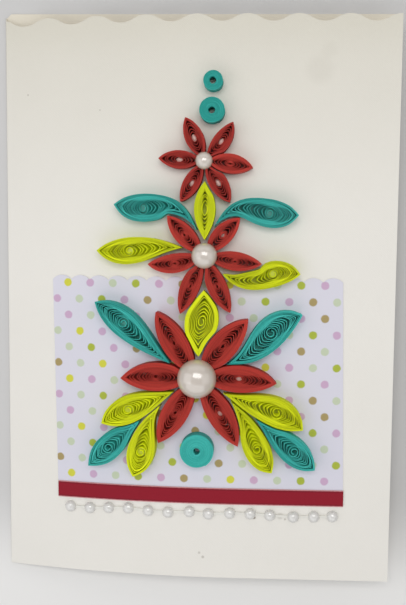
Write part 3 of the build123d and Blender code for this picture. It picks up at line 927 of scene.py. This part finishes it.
class Outline:
    """The pinched outline of a coil, as a spine from one pinched end to the other and a half width.

    The eye is where it is widest. The spine's direction there is taken over a short reach.
    """

    SAMPLES = 361
    SOFT_REACH = 16
    EYE_REACH = 0.03
    INSET_ROOM = 1.5
    GROWTH = 1e-9

    def __init__(self, corners: np.ndarray) -> None:
        """Split the outline at its two pinched ends: the spine runs midway between the sides.

        Args:
            corners: Corners of the outline in order, the same number on each side.
        """
        half = len(corners) // 2
        reach = np.linalg.norm(corners[:half] - corners[half:2 * half], axis=1)
        corners = np.roll(corners, -int(reach.argmax()), axis=0)
        right = corners[:half + 1]
        left = np.roll(corners[::-1], 1, axis=0)[:half + 1]
        widths = np.linalg.norm(right - left, axis=1)
        if widths.argmax() < half / 2:
            right, left, widths = left[::-1], right[::-1], widths[::-1]
        sides = (left - right)[1:-1] / widths[1:-1, None]
        sides = np.concatenate([sides[:1], sides, sides[-1:]])
        self.share = np.linspace(0.0, 1.0, self.SAMPLES)
        self.spine = self.soften(self.curve((right + left) / 2))
        self.half_width = np.maximum(self.soften(self.curve(widths[:, None] / 2))[:, 0], 0.0)
        self.side = self.curve(sides)
        self.side /= np.linalg.norm(self.side, axis=1)[:, None]
        self.length = float(np.linalg.norm(np.diff(self.spine, axis=0), axis=1).sum())
        self.eye = float(self.share[self.half_width.argmax()])

    def curve(self, values: np.ndarray) -> np.ndarray:
        """Smooth curve through evenly spaced values: each stretch is a cubic with shared slopes.

        Args:
            values: The values, as rows.

        Returns:
            The curve at the shares of the spine.
        """
        place = self.share * (len(values) - 1)
        low = np.minimum(place.astype(int), len(values) - 2)
        part = (place - low)[:, None]
        padded = np.concatenate([2 * values[:1] - values[1:2], values, 2 * values[-1:] - values[-2:-1]])
        before, start, end, after = (padded[low + step] for step in range(4))
        slope_in, slope_out = (end - before) / 2, (after - start) / 2
        cubic = (2 * start - 2 * end + slope_in + slope_out) * part ** 3
        square = (3 * end - 3 * start - 2 * slope_in - slope_out) * part ** 2
        return cubic + square + slope_in * part + start

    def soften(self, values: np.ndarray) -> np.ndarray:
        """Curve with its kinks rounded by a sliding mean that narrows towards both ends.

        Args:
            values: The curve, as rows.

        Returns:
            The rounded curve, with its ends where they were.
        """
        places = np.arange(len(values))
        room = np.minimum(self.SOFT_REACH, np.minimum(places, places[::-1]))
        total = np.concatenate([np.zeros((1, values.shape[1])), np.cumsum(values, axis=0)])
        return (total[places + room + 1] - total[places - room]) / (2 * room + 1)[:, None]

    def eye_frame(self) -> tuple[np.ndarray, np.ndarray, np.ndarray]:
        """Place and directions of the eye.

        Returns:
            The eye, the direction of the spine there, and the direction across it.
        """
        shares = self.eye + self.EYE_REACH * np.array([-1, 0, 1])
        behind, eye, before = self.at(self.spine, shares)
        side = self.at(self.side, np.array([self.eye]))[0]
        return eye, (before - behind) / np.linalg.norm(before - behind), side

    def inset(self, distance: float) -> np.ndarray:
        """Closed outline that lies a distance inside this one, where there is room for it.

        Args:
            distance: How far inside.

        Returns:
            Places in the plan, along one side and back along the other.
        """
        wide = self.half_width > self.INSET_ROOM * distance
        spine, side = self.spine[wide], self.side[wide]
        reach = (self.half_width[wide] - distance)[:, None]
        return np.concatenate([spine - reach * side, (spine + reach * side)[::-1]])

    def at(self, values: np.ndarray, share: np.ndarray) -> np.ndarray:
        """Values of a curve at shares of the spine, straight between its samples.

        Args:
            values: The curve: one number for each sample, or a row.
            share: Shares of the spine.

        Returns:
            The values, one for each share.
        """
        if values.ndim == 1:
            return np.interp(share, self.share, values)
        return np.stack([np.interp(share, self.share, column) for column in values.T], axis=-1)

    def first_at_width(self, width: np.ndarray, from_tip: bool) -> np.ndarray:
        """Where the half width first reaches a value, seen from one pinched end.

        Args:
            width: Half widths to look for.
            from_tip: Whether to start at the tip rather than the foot.

        Returns:
            Share of the spine for each.
        """
        order = slice(None, None, -1) if from_tip else slice(None)
        share = self.share[order]
        growing = np.maximum.accumulate(self.half_width[order]) + np.arange(len(share)) * self.GROWTH
        return np.interp(width, growing, share)


@dataclass(frozen=True)
class Winding:
    """How a strip is wound: a dense band along the outline, loose turns, and a core about the eye.

    The band and the core are given as shares of the coil's half width, and the hole in the eye as
    a share of the core. The noses of the loose turns stand a spacing apart on the longer side of
    the eye, uneven by a share of it in waves of so many radians a turn, and lean in by a length.
    The strip is as thick as its own thickness, or as the fullness times the room that each loose
    turn has at the sides, whichever is less. It gets free of the band over some turns, and starts
    to turn into the core a share of a turn early. The core's stretch along the spine is partly
    gone at the eye. A drop of glue in the eye spreads to a share of the core, some way under the
    strip's edge. The tone is how much darker than its plain colour the strip is, and the painted
    light how much less so at the noses and in the core: painted light on turns that lie in shade.
    """

    band: float
    core: float
    core_stretch: float
    core_turns: float
    spacing: float
    tip_crowding: float
    lean: float
    tone: float
    eye: float = 0.36
    nose: float = 1.8
    nose_power: float = 0.6
    band_pitch: float = 0.235 * MM
    fullness: float = 0.78
    unevenness: float = 0.22
    waves: float = 2.3
    freeing: float = 1.5
    core_lead: float = 0.6
    core_rounding: float = 0.5
    drop_share: float = 0.5
    drop_depth: float = 1.2 * MM
    painted_light: float = 0.0


class Wind(Enum):
    """The kinds of pinched coil in the card."""

    PETAL = Winding(0.3, 0.27, 1.9, 2.6, 1.2 * MM, tip_crowding=1.1, lean=0.22 * MM, tone=0.15)
    GLINT_PETAL = replace(PETAL, core=0.28, core_turns=2.2, eye=0.5)
    OPEN_PETAL = Winding(
        0.22, 0.36, 2.2, 1.3, 1.1 * MM, tip_crowding=1.1, lean=0.22 * MM, tone=0.45, eye=0.65,
        drop_share=0.6,
    )
    TEAL_LEAF = Winding(
        0.16, 0.46, 1.1, 1.6, 1.4 * MM, tip_crowding=1.2, lean=0.52 * MM, tone=0.35, painted_light=0.65,
        eye=0.3, fullness=0.88, drop_share=0.7, drop_depth=1.7 * MM,
    )
    LIME_LEAF = replace(TEAL_LEAF, core=0.44, core_stretch=1.2, tone=0.45, painted_light=0.8)
    BROAD_MARQUISE = Winding(
        0.25, 0.3, 1.9, 1.6, 1.5 * MM, tip_crowding=1.0, lean=0.45 * MM, tone=0.3, painted_light=0.8
    )
    SLIM_MARQUISE = Winding(
        0.45, 0.3, 3.0, 1.1, 1.3 * MM, tip_crowding=1.0, lean=0.25 * MM, tone=0.7, painted_light=0.8, eye=0.7
    )


@dataclass(frozen=True)
class WoundLine:
    """Middle line of a wound strip in the plan, with values at each of its points.

    They are the turns wound so far, how free the strip stands there, from 0 to 1, and how much
    darker than its plain colour it is. Below 0 it is paler. In pinched coils that darkness is less
    at the noses and in the core, as painted light.
    """

    plan: np.ndarray
    turn: np.ndarray
    free: np.ndarray
    tone: np.ndarray


@dataclass(frozen=True)
class Strip:
    """A quilling strip that stands on edge along a line in a level frame.

    Each turn's upper edge stands lower than the full height by up to the play, and by more where
    it is free. Its lower edge stands higher by a share of that. A free turn's upper edge leans in
    towards the eye by about the lean, uneven by a share of it. The waves are in radians a turn.
    """

    thickness: float = 0.22 * MM
    sections: int = 56
    play: float = 0.1 * MM
    free_play: float = 1.5
    foot_play: float = 0.2
    drop_waves: tuple[float, float] = (2.4, 0.9)
    lean: float = 0.0
    lean_play: float = 0.35
    lean_waves: float = 1.1
    phases: int = 97

    def build(self, name: str, seat: Seat, line: WoundLine) -> bpy.types.Object:
        """Four-cornered section carried along the line: foot and top, left and right of it.

        Args:
            name: Name of the piece.
            seat: The level frame.
            line: Middle line of the strip.

        Returns:
            The strip as one closed object.
        """
        path, turn, loose = line.plan, line.turn, line.free
        run = np.gradient(path, axis=0)
        run /= np.maximum(np.linalg.norm(run, axis=1), TINY)[:, None]
        leftward = np.stack([-run[:, 1], run[:, 0]], axis=-1)
        aside = leftward * self.thickness / 2
        arm = path - path.mean(axis=0)
        turned_left = float((arm[:, 0] * run[:, 1] - arm[:, 1] * run[:, 0]).sum()) > 0
        phase = phase_of(name, self.phases)
        tilt = self.lean * loose * (1 + self.lean_play * np.sin(self.lean_waves * turn + phase))
        top = path + leftward * (tilt if turned_left else -tilt)[:, None]
        quick, slow = self.drop_waves
        drop = self.play * (0.5 + 0.5 * np.sin(quick * turn + phase) * np.cos(slow * turn + 2.0 * phase))
        low = np.full(len(path), seat.low) + self.foot_play * drop
        high = seat.high - drop * (1 + self.free_play * loose)
        corners = ((path + aside, low), (path - aside, low), (top - aside, high), (top + aside, high))
        rings = np.stack([seat.world(plan, lift) for plan, lift in corners], axis=1)
        vertices, faces = skin(rings, Close.FLAT, Close.FLAT)
        turns, tones = np.repeat(turn + phase, 4), np.repeat(line.tone, 4)
        return make_object(name, vertices, faces, turn=turns, tone=tones)


class Spiral:
    """A winding fitted into one outline.

    Every turn runs inside the one before, one pitch further from the outline, and crosses the
    spine in a nose at either end. The noses crowd at the pinched ends. The last turns are round,
    about the eye.
    """

    MARGIN = 0.02 * MM

    def __init__(self, outline: Outline, winding: Winding, strip: Strip, phase: float) -> None:
        """Work out how many turns each part has, and how far apart they lie.

        Args:
            outline: The measured outline.
            winding: How the strip is wound.
            strip: The strip, for its thickness and the number of points in a turn.
            phase: Where the noses' slow waves start.
        """
        self.outline, self.winding, self.phase = outline, winding, phase
        self.half_strip = strip.thickness / 2
        belly = float(outline.half_width.max())
        self.core_radius = winding.core * belly
        self.core_reach = self.core_radius * winding.core_stretch / outline.length
        self.band_turns = winding.band * belly / winding.band_pitch
        band = self.half_strip + self.band_turns * winding.band_pitch
        self.band_foot = float(outline.first_at_width(np.array(band + self.MARGIN), False))
        self.band_tip = float(outline.first_at_width(np.array(band + self.MARGIN), True))
        below = outline.eye - self.core_reach - self.band_foot
        above = self.band_tip - outline.eye - self.core_reach
        self.loose_turns = max(below, above) * outline.length / winding.spacing
        self.loose_pitch = (belly - band - self.core_radius) / self.loose_turns
        turns = self.band_turns + self.loose_turns + winding.core_turns
        self.turn = np.linspace(0.0, turns, int(turns * strip.sections))
        self.angle = 2 * np.pi * self.turn

    def in_loose(self) -> np.ndarray:
        """Loose turns wound so far."""
        return np.clip(self.turn - self.band_turns, 0.0, self.loose_turns)

    def in_core(self) -> np.ndarray:
        """Share of the core wound so far."""
        past = self.turn - self.band_turns - self.loose_turns
        return np.clip(past / self.winding.core_turns, 0.0, 1.0)

    def noses(self, used: np.ndarray) -> tuple[np.ndarray, np.ndarray]:
        """Where the turns cross the spine: as near the ends as there is room, and then in steps.

        Args:
            used: Distance from the outline that the turns so far have used.

        Returns:
            Share of the spine at the foot and at the tip, for each point of the line.
        """
        outline, wind = self.outline, self.winding
        loose = self.in_loose() / self.loose_turns
        wave = np.sin(wind.waves * self.turn + self.phase)
        ripple = wind.unevenness / self.loose_turns * np.sin(np.pi * loose) * wave
        foot_step = np.maximum(loose + ripple, 0.0)
        tip_step = np.maximum(loose ** wind.tip_crowding - ripple, 0.0)
        loose_foot = self.band_foot + foot_step * (outline.eye - self.core_reach - self.band_foot)
        loose_tip = self.band_tip + tip_step * (outline.eye + self.core_reach - self.band_tip)
        near_foot = outline.first_at_width(used + self.MARGIN, False)
        near_tip = outline.first_at_width(used + self.MARGIN, True)
        in_band = self.turn < self.band_turns
        foot = np.where(in_band, near_foot, np.maximum(loose_foot, near_foot))
        tip = np.where(in_band, near_tip, np.minimum(loose_tip, near_tip))
        return foot, tip

    def outer_turns(self) -> np.ndarray:
        """Turns of the band and the loose part: there and back along the spine, one on each side.

        The distance from the spine is the half width less what is used. At both ends it closes in
        a round nose, which is as long as it is wide times a factor.

        Returns:
            Places in the plan.
        """
        outline, wind = self.outline, self.winding
        in_band = np.minimum(self.turn, self.band_turns)
        used = self.half_strip + in_band * wind.band_pitch + self.in_loose() * self.loose_pitch
        foot, tip = self.noses(used)
        share = foot + (tip - foot) * (1 - np.cos(self.angle)) / 2
        room = np.maximum(outline.at(outline.half_width, share) - used, 0.0)
        closing = np.ones_like(share)
        for end, away in ((foot, share - foot), (tip, tip - share)):
            across = np.maximum(outline.at(outline.half_width, end) - used, self.MARGIN)
            nose = wind.nose * across / outline.length
            closing *= (1 - (1 - np.clip(away / nose, 0.0, 1.0)) ** 2) ** wind.nose_power
        aside = np.sign(np.sin(self.angle)) * room * closing
        return outline.at(outline.spine, share) + aside[:, None] * outline.at(outline.side, share)

    def core_turns(self) -> np.ndarray:
        """Turns of the core: an oval about the eye that shrinks to the hole.

        Returns:
            Places in the plan.
        """
        wind, inner = self.winding, self.in_core()
        eye, ahead, side = self.outline.eye_frame()
        radius = self.core_radius * (1 - (1 - wind.eye) * inner)
        stretch = 1 + (wind.core_stretch - 1) * (1 - wind.core_rounding * inner)
        middle = eye - (radius * stretch * np.cos(self.angle))[:, None] * ahead
        return middle + (radius * np.sin(self.angle))[:, None] * side

    def line(self) -> WoundLine:
        """Middle line of the strip: the outer turns, blended into the core.

        Returns:
            The line with its turns, its freedom and its tone.
        """
        wind = self.winding
        blend = smooth_step(self.turn - self.band_turns - self.loose_turns + wind.core_lead)
        plan = self.outer_turns() * (1 - blend)[:, None] + self.core_turns() * blend[:, None]
        freed = smooth_step((self.turn - self.band_turns) / wind.freeing)
        free = freed * (1 - self.in_core()) * np.cos(self.angle) ** 2
        # painted light: the tone is lowered at the noses and in the core, so those turns come out paler
        return WoundLine(plan, self.turn, free, wind.tone - wind.painted_light * np.maximum(free, blend))


@dataclass(frozen=True)
class GlueAndShade:
    """The two looks of dried glue: the thin film under a coil, coloured as painted shade, and the drop in
    its eye.
    """

    film: bpy.types.Material
    drop: bpy.types.Material


@dataclass(frozen=True)
class PinchedCoil:
    """A loose coil, pinched at both ends: open along its spine and dense at its sides.

    The glue film, coloured as painted shade, lies a little inside the outline, between two depths
    under the strip. The drop's dome is given level by level: its share of the drop's radius, and its
    depth in such radii.
    """

    node: str
    winding: Winding
    pale_eye: bool
    strip: Strip = Strip()
    phases: int = 89
    film_inset: float = 0.25 * MM
    film_low: float = 0.04 * MM
    film_high: float = 0.005 * MM
    drop_sides: int = 24
    drop_dome: tuple = ((1.0, 0.35), (0.8, 0.12), (0.4, 0.0))

    def glue_and_shade_film(self, seat: Seat, outline: Outline) -> bpy.types.Object:
        """Thin film of glue in painted shade just under the strip: a slab inside the outline, from side to
        side.

        Args:
            seat: The coil's level frame.
            outline: Its outline.

        Returns:
            The film as one closed object.
        """
        plan = outline.inset(self.film_inset)
        half = len(plan) // 2
        left, right = plan[:half], plan[half:][::-1]
        low, high = seat.low - self.film_low, seat.low - self.film_high
        corners = ((left, low), (right, low), (right, high), (left, high))
        rings = [seat.world(edge, np.full(half, lift)) for edge, lift in corners]
        vertices, faces = skin(np.stack(rings, axis=1), Close.FLAT, Close.FLAT)
        return make_object(f"glue_{self.node}", vertices, faces)

    def glue_drop(self, seat: Seat, outline: Outline) -> bpy.types.Object:
        """Drop of glue in the eye: an oval plug with a domed top, some way below the strip's edge.

        Args:
            seat: The coil's level frame.
            outline: Its outline.

        Returns:
            The drop as one closed object.
        """
        wind = self.winding
        middle, ahead, side = outline.eye_frame()
        radius = wind.drop_share * wind.core * float(outline.half_width.max()) + self.strip.thickness / 2
        top = seat.high - wind.drop_depth
        turn = np.linspace(0.0, 2 * np.pi, self.drop_sides, endpoint=False)[:, None]
        oval = radius * ((1 + wind.core_stretch) / 2 * np.cos(turn) * ahead + np.sin(turn) * side)
        levels = [(1.0, seat.low)] + [(share, top - depth * radius) for share, depth in self.drop_dome]
        rings = [seat.world(middle + share * oval, np.full(len(turn), lift)) for share, lift in levels]
        vertices, faces = skin(np.stack(rings), Close.FLAT, Close.FLAT)
        return make_object(f"drop_{self.node}", vertices, faces)

    def build(self, slot: str, strip_look: bpy.types.Material, glue_shade: GlueAndShade) -> None:
        """The wound strip in the place of its CAD node, and the glue that holds it, its film in painted
        shade.

        Args:
            slot: Material slot of the strip and its glue; not used.
            strip_look: Look of the strip.
            glue_shade: Looks of the glue: its film, coloured as painted shade, and its drop.
        """
        seat = Seat(self.node)
        outline = Outline(seat.rim())
        spiral = Spiral(outline, self.winding, self.strip, phase_of(self.node, self.phases))
        thickness = min(self.strip.thickness, self.winding.fullness * spiral.loose_pitch)
        strip = replace(self.strip, thickness=thickness, lean=self.winding.lean)
        wound = strip.build(f"wound_{self.node}", seat, spiral.line())
        stand_for(wound, self.node, strip_look)
        # painted shade: the glue film under the strip darkens the bottom of the gaps, with painted light
        # patches
        dress(self.glue_and_shade_film(seat, outline), glue_shade.film)
        if self.pale_eye:
            dress(self.glue_drop(seat, outline), glue_shade.drop)


@dataclass(frozen=True)
class TightDisc:
    """A tight round coil with a small hole."""

    node: str
    tone: float
    hole: float = 1.3 * MM
    pitch: float = 0.2 * MM
    start: float = math.radians(300)
    strip: Strip = Strip(thickness=0.185 * MM, sections=64, play=0.05 * MM)

    def build(self, slot: str, material: bpy.types.Material) -> None:
        """A round spiral from the outline in to the hole, one pitch further in with each turn.

        Args:
            slot: Material slot of the strip; not used.
            material: Its look.
        """
        seat = Seat(self.node)
        radius = seat.radius()
        turns = (radius - self.hole) / self.pitch
        turn = np.linspace(0.0, turns, int(turns * self.strip.sections))
        reach = radius - self.strip.thickness / 2 - turn * self.pitch
        angle = self.start + 2 * np.pi * turn
        path = seat.centre + reach[:, None] * np.stack([np.cos(angle), np.sin(angle)], axis=-1)
        line = WoundLine(path, turn, np.zeros(len(turn)), np.full(len(turn), self.tone))
        piece = self.strip.build(f"wound_{self.node}", seat, line)
        stand_for(piece, self.node, material)


@dataclass(frozen=True)
class HalfPearl:
    """A half pearl with a flat back. Its rise is a share of its radius."""

    node: str
    rise: float = 0.86
    sides: int = 80
    levels: int = 44

    def build(self, slot: str, material: bpy.types.Material) -> None:
        """A flattened half ball: each level is a ring, from the flat back up to the pole.

        Args:
            slot: Material slot of the pearl; not used.
            material: Its look.
        """
        seat = Seat(self.node)
        radius = seat.radius()
        climb = np.radians(np.linspace(0.0, 90.0, self.levels, endpoint=False))[:, None]
        turn = np.linspace(0.0, 2 * np.pi, self.sides, endpoint=False)[None, :]
        plan = np.stack([np.cos(climb) * np.cos(turn), np.cos(climb) * np.sin(turn)], axis=-1)
        lift = seat.low + radius * self.rise * np.sin(climb) * np.ones_like(turn)
        rings = seat.world(seat.centre + radius * plan, lift)
        vertices, faces = skin(rings, Close.FLAT, Close.POINT)
        vertices[-1] = seat.world(seat.centre, np.array(seat.low + radius * self.rise))
        rise = np.append(np.repeat(np.sin(climb[:, 0]), self.sides), 1.0)
        piece = make_object(f"round_{self.node}", vertices, faces, rise=rise)
        stand_for(piece, self.node, material)


@dataclass(frozen=True)
class BeadString:
    """Half pearls joined by a thin flat band."""

    cover: Cover
    count: int = 14
    band: float = 0.9 * MM
    band_height: float = 0.35 * MM
    film: float = 0.05 * MM
    samples: int = 400
    bead_sides: int = 44
    bead_levels: int = 22

    def build(self, bead: bpy.types.Material, thread: bpy.types.Material) -> None:
        """The beads, and the band that runs from the middle of each to the next.

        Args:
            bead: Look of the beads.
            thread: Look of the band.
        """
        names = [f"bead_{number:02d}" for number in range(1, self.count + 1)]
        alongs, heights = [], []
        for name in names:
            HalfPearl(name, sides=self.bead_sides, levels=self.bead_levels).build("bead", bead)
            seat = Seat(name)
            centre = seat.world(seat.centre, np.array(seat.low))
            alongs.append(float(self.cover.along_at(centre[0], self.film)))
            heights.append(float(centre[1]))
        along = np.linspace(alongs[0], alongs[-1], self.samples)
        middle = np.interp(along, alongs, heights)
        half = self.band / 2
        rings = [
            self.cover.place(along, middle + side * half, self.film + level * self.band_height)
            for side, level in ((-1, 0), (1, 0), (1, 1), (-1, 1))
        ]
        vertices, faces = skin(np.stack(rings, axis=1), Close.FLAT, Close.FLAT)
        piece = make_object("bead_band", vertices, faces)
        stand_for(piece, "bead_thread", thread)


@dataclass(frozen=True)
class Lamp:
    """A soft oblong light that faces the card's middle, with its power in watts."""

    name: str
    place: tuple[float, float, float]
    size: tuple[float, float]
    power: float
    colour: tuple[float, float, float]

    def build(self) -> None:
        """The light."""
        light = bpy.data.lights.new(self.name, "AREA")
        light.shape = "RECTANGLE"
        light.size, light.size_y = self.size
        light.energy = self.power
        light.color = self.colour
        holder = bpy.data.objects.new(self.name, light)
        holder.location = self.place
        holder.rotation_euler = (-holder.location).to_track_quat("-Z", "Y").to_euler()
        bpy.context.scene.collection.objects.link(holder)


@dataclass(frozen=True)
class Studio:
    """Camera, light and the pale table under the card.

    The camera looks straight down, but for a small tilt, sway and roll in degrees, about X, Y and Z.
    """

    position: tuple = (12.40 * MM, 22.75 * MM, 303.13 * MM)
    tilt: float = -4.62
    sway: float = 2.08
    roll: float = 0.52
    lens: float = 47.6
    sensor: float = 36.0
    nearest: float = 10.0 * MM
    lamps: tuple = (
        Lamp("key", (0.02, 0.2, 0.62), (0.5, 0.27), 1.9, (1.0, 0.99, 0.97)),
        Lamp("below", (-0.1, -0.6, 0.5), (1.4, 0.7), 3.05, (0.985, 0.99, 1.0)),
        Lamp("above", (0.0, 0.62, 0.3), (1.2, 0.4), 1.0, (1.0, 0.99, 0.97)),
        Lamp("left", (-0.42, 0.0, 0.36), (0.5, 0.45), 0.75, (0.98, 0.985, 1.0)),
        Lamp("right", (0.42, 0.0, 0.36), (0.5, 0.45), 0.48, (1.0, 0.99, 0.98)),
    )
    sky: tuple = (0.86, 0.88, 0.92, 1.0)
    sky_strength: float = 0.22
    table_reach: float = 1.5
    table_top: float = -0.1 * MM

    def place_camera(self) -> None:
        """The camera above the card, with the card's picture where the photo has it."""
        camera = bpy.data.cameras.new("camera")
        camera.sensor_width = self.sensor
        camera.lens = self.lens
        camera.clip_start = self.nearest
        holder = bpy.data.objects.new("camera", camera)
        holder.location = self.position
        holder.rotation_euler = [math.radians(angle) for angle in (self.tilt, self.sway, self.roll)]
        bpy.context.scene.collection.objects.link(holder)
        bpy.context.scene.camera = holder

    def light_sky(self) -> None:
        """The even light of the room, and colours shown as they are."""
        world = bpy.data.worlds.new("room")
        world.use_nodes = True
        background = world.node_tree.nodes["Background"]
        background.inputs["Color"].default_value = self.sky
        background.inputs["Strength"].default_value = self.sky_strength
        bpy.context.scene.world = world
        bpy.context.scene.view_settings.view_transform = "Standard"

    def lay_table(self) -> None:
        """The table top, a little under the card."""
        mesh = bpy.data.meshes.new("table")
        signs = ((-1, -1), (1, -1), (1, 1), (-1, 1))
        corners = [(x * self.table_reach, y * self.table_reach, self.table_top) for x, y in signs]
        mesh.from_pydata(corners, [], [(0, 1, 2, 3)])
        table = bpy.data.objects.new("table", mesh)
        bpy.context.scene.collection.objects.link(table)
        mesh.materials.append(TableFinish().build())

    def build(self) -> None:
        """Everything round the card."""
        self.place_camera()
        for lamp in self.lamps:
            lamp.build()
        self.light_sky()
        self.lay_table()


def strip_slot(node: str) -> str:
    """Which coloured strip a coil is wound from.

    Args:
        node: Name of the coil's node.

    Returns:
        The strip's slot.
    """
    if "petal" in node:
        return "red_strip"
    lime = ("marquise", "side_leaf", "_top", "_foot")
    return "lime_strip" if any(word in node for word in lime) else "teal_strip"


def wind_kind(node: str, slot: str) -> Wind:
    """How a coil is wound, from what it is. All but one of the small petals have an open eye.

    Args:
        node: Name of the coil's node.
        slot: Slot of its strip.

    Returns:
        The kind.
    """
    if node in ("large_petal_right", "large_petal_lower_right", "medium_petal_upper_right"):
        return Wind.GLINT_PETAL
    if "small_petal" in node and node != "small_petal_right":
        return Wind.OPEN_PETAL
    if "petal" in node:
        return Wind.PETAL
    if "marquise" in node:
        return Wind.BROAD_MARQUISE if "lower" in node else Wind.SLIM_MARQUISE
    return Wind.LIME_LEAF if slot == "lime_strip" else Wind.TEAL_LEAF


def has_pale_eye(node: str, wind: Wind) -> bool:
    """Whether a drop of glue shows in a coil's eye.

    Args:
        node: Name of the coil's node.
        wind: Its kind.

    Returns:
        True for the open petals, the glinting ones and the pale leaves.
    """
    pale_leaves = (
        "wing_leaf_left", "swirl_leaf_left", "swirl_leaf_right", "side_leaf_left", "side_leaf_right",
        "spray_leaf_left_top", "spray_leaf_left_foot",
    )
    return wind in (Wind.GLINT_PETAL, Wind.OPEN_PETAL) or node in pale_leaves


def build_papers(cover: Cover) -> None:
    """The folded card, the patterned paper and the ribbon.

    Args:
        cover: The bowed front sheet.
    """
    FoldedCard(cover).build(CardFinish().build())
    FlatPaper(
        "patterned_sheet", "dotted_paper", "dotted_paper", first=18.0 * MM, top=8.4 * MM,
        low=0.05 * MM, thickness=0.18 * MM, steps=240, lean=1.8 * MM, bumps=15, bump_depth=1.6 * MM,
    ).build(cover, DotFinish().build())
    FlatPaper(
        "ribbon_band", "red_ribbon", "ribbon", first=19.8 * MM, top=-70.4 * MM, low=0.28 * MM,
        thickness=0.25 * MM, steps=224,
    ).build(cover, RibbonFinish().build())


def build_pearls(cover: Cover) -> None:
    """The bead string and the pearls in the flowers.

    Args:
        cover: The bowed front sheet.
    """
    # each lacquer's second colour is painted shade and reflection at the rim
    bead = PearlFinish("bead_lacquer", linear(214, 212, 208), linear(206, 205, 201)).build()
    BeadString(cover).build(bead, PlainFinish("bead_thread", linear(226, 224, 216), 0.5).build())
    pearl = PearlFinish("pearl_lacquer", linear(201, 191, 181), linear(182, 168, 146)).build()
    for node in ("large_pearl", "medium_pearl", "small_pearl"):
        HalfPearl(node).build("pearl", pearl)


def build_coils() -> None:
    """Every coil of coloured strip, in the order of the nodes' names."""
    glue_and_shade_looks = {}
    # film colours: painted shade under the coils; drop colours: the glue in the eyes and the painted light
    # patches on the films
    for colour, film, drop in (
        ("red", linear(120, 36, 32), linear(222, 186, 176)),
        ("lime", linear(200, 208, 50), linear(216, 222, 92)),
        ("teal", linear(60, 164, 154), linear(88, 166, 156)),
    ):
        shade_film_look = GlueShadeFinish(f"{colour}_glue", film, drop).build()
        glue_and_shade_looks[f"{colour}_strip"] = GlueAndShade(shade_film_look, PlainFinish(f"{colour}_drop", drop, 0.35).build())
    strips = {
        "red_strip": StripFinish("red_strip", linear(189, 58, 46), linear(143, 34, 28)).build(),
        "lime_strip": StripFinish("lime_strip", linear(238, 246, 20), linear(188, 198, 2)).build(),
        "teal_strip": StripFinish("teal_strip", linear(76, 200, 190), linear(30, 143, 134)).build(),
    }
    disc_tones = {"large_disc": 0.3, "medium_disc": 0.7, "small_disc": 0.7}
    for node in sorted(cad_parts):
        if node in disc_tones:
            TightDisc(node, disc_tones[node]).build("teal_strip", strips["teal_strip"])
        elif "petal" in node or "leaf" in node or "marquise" in node:
            slot = strip_slot(node)
            wind = wind_kind(node, slot)
            coil = PinchedCoil(node, wind.value, has_pale_eye(node, wind))
            coil.build(slot, strips[slot], glue_and_shade_looks[slot])


def main() -> None:
    """Build the card's looks."""
    logging.basicConfig(level=logging.INFO, format="%(message)s")
    fold_x = float(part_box("folded_card")[0][0]) + Cover.outer_radius
    cover = Cover(fold_x)
    build_papers(cover)
    build_pearls(cover)
    build_coils()
    Studio().build()


if __name__ == "__main__":
    main()
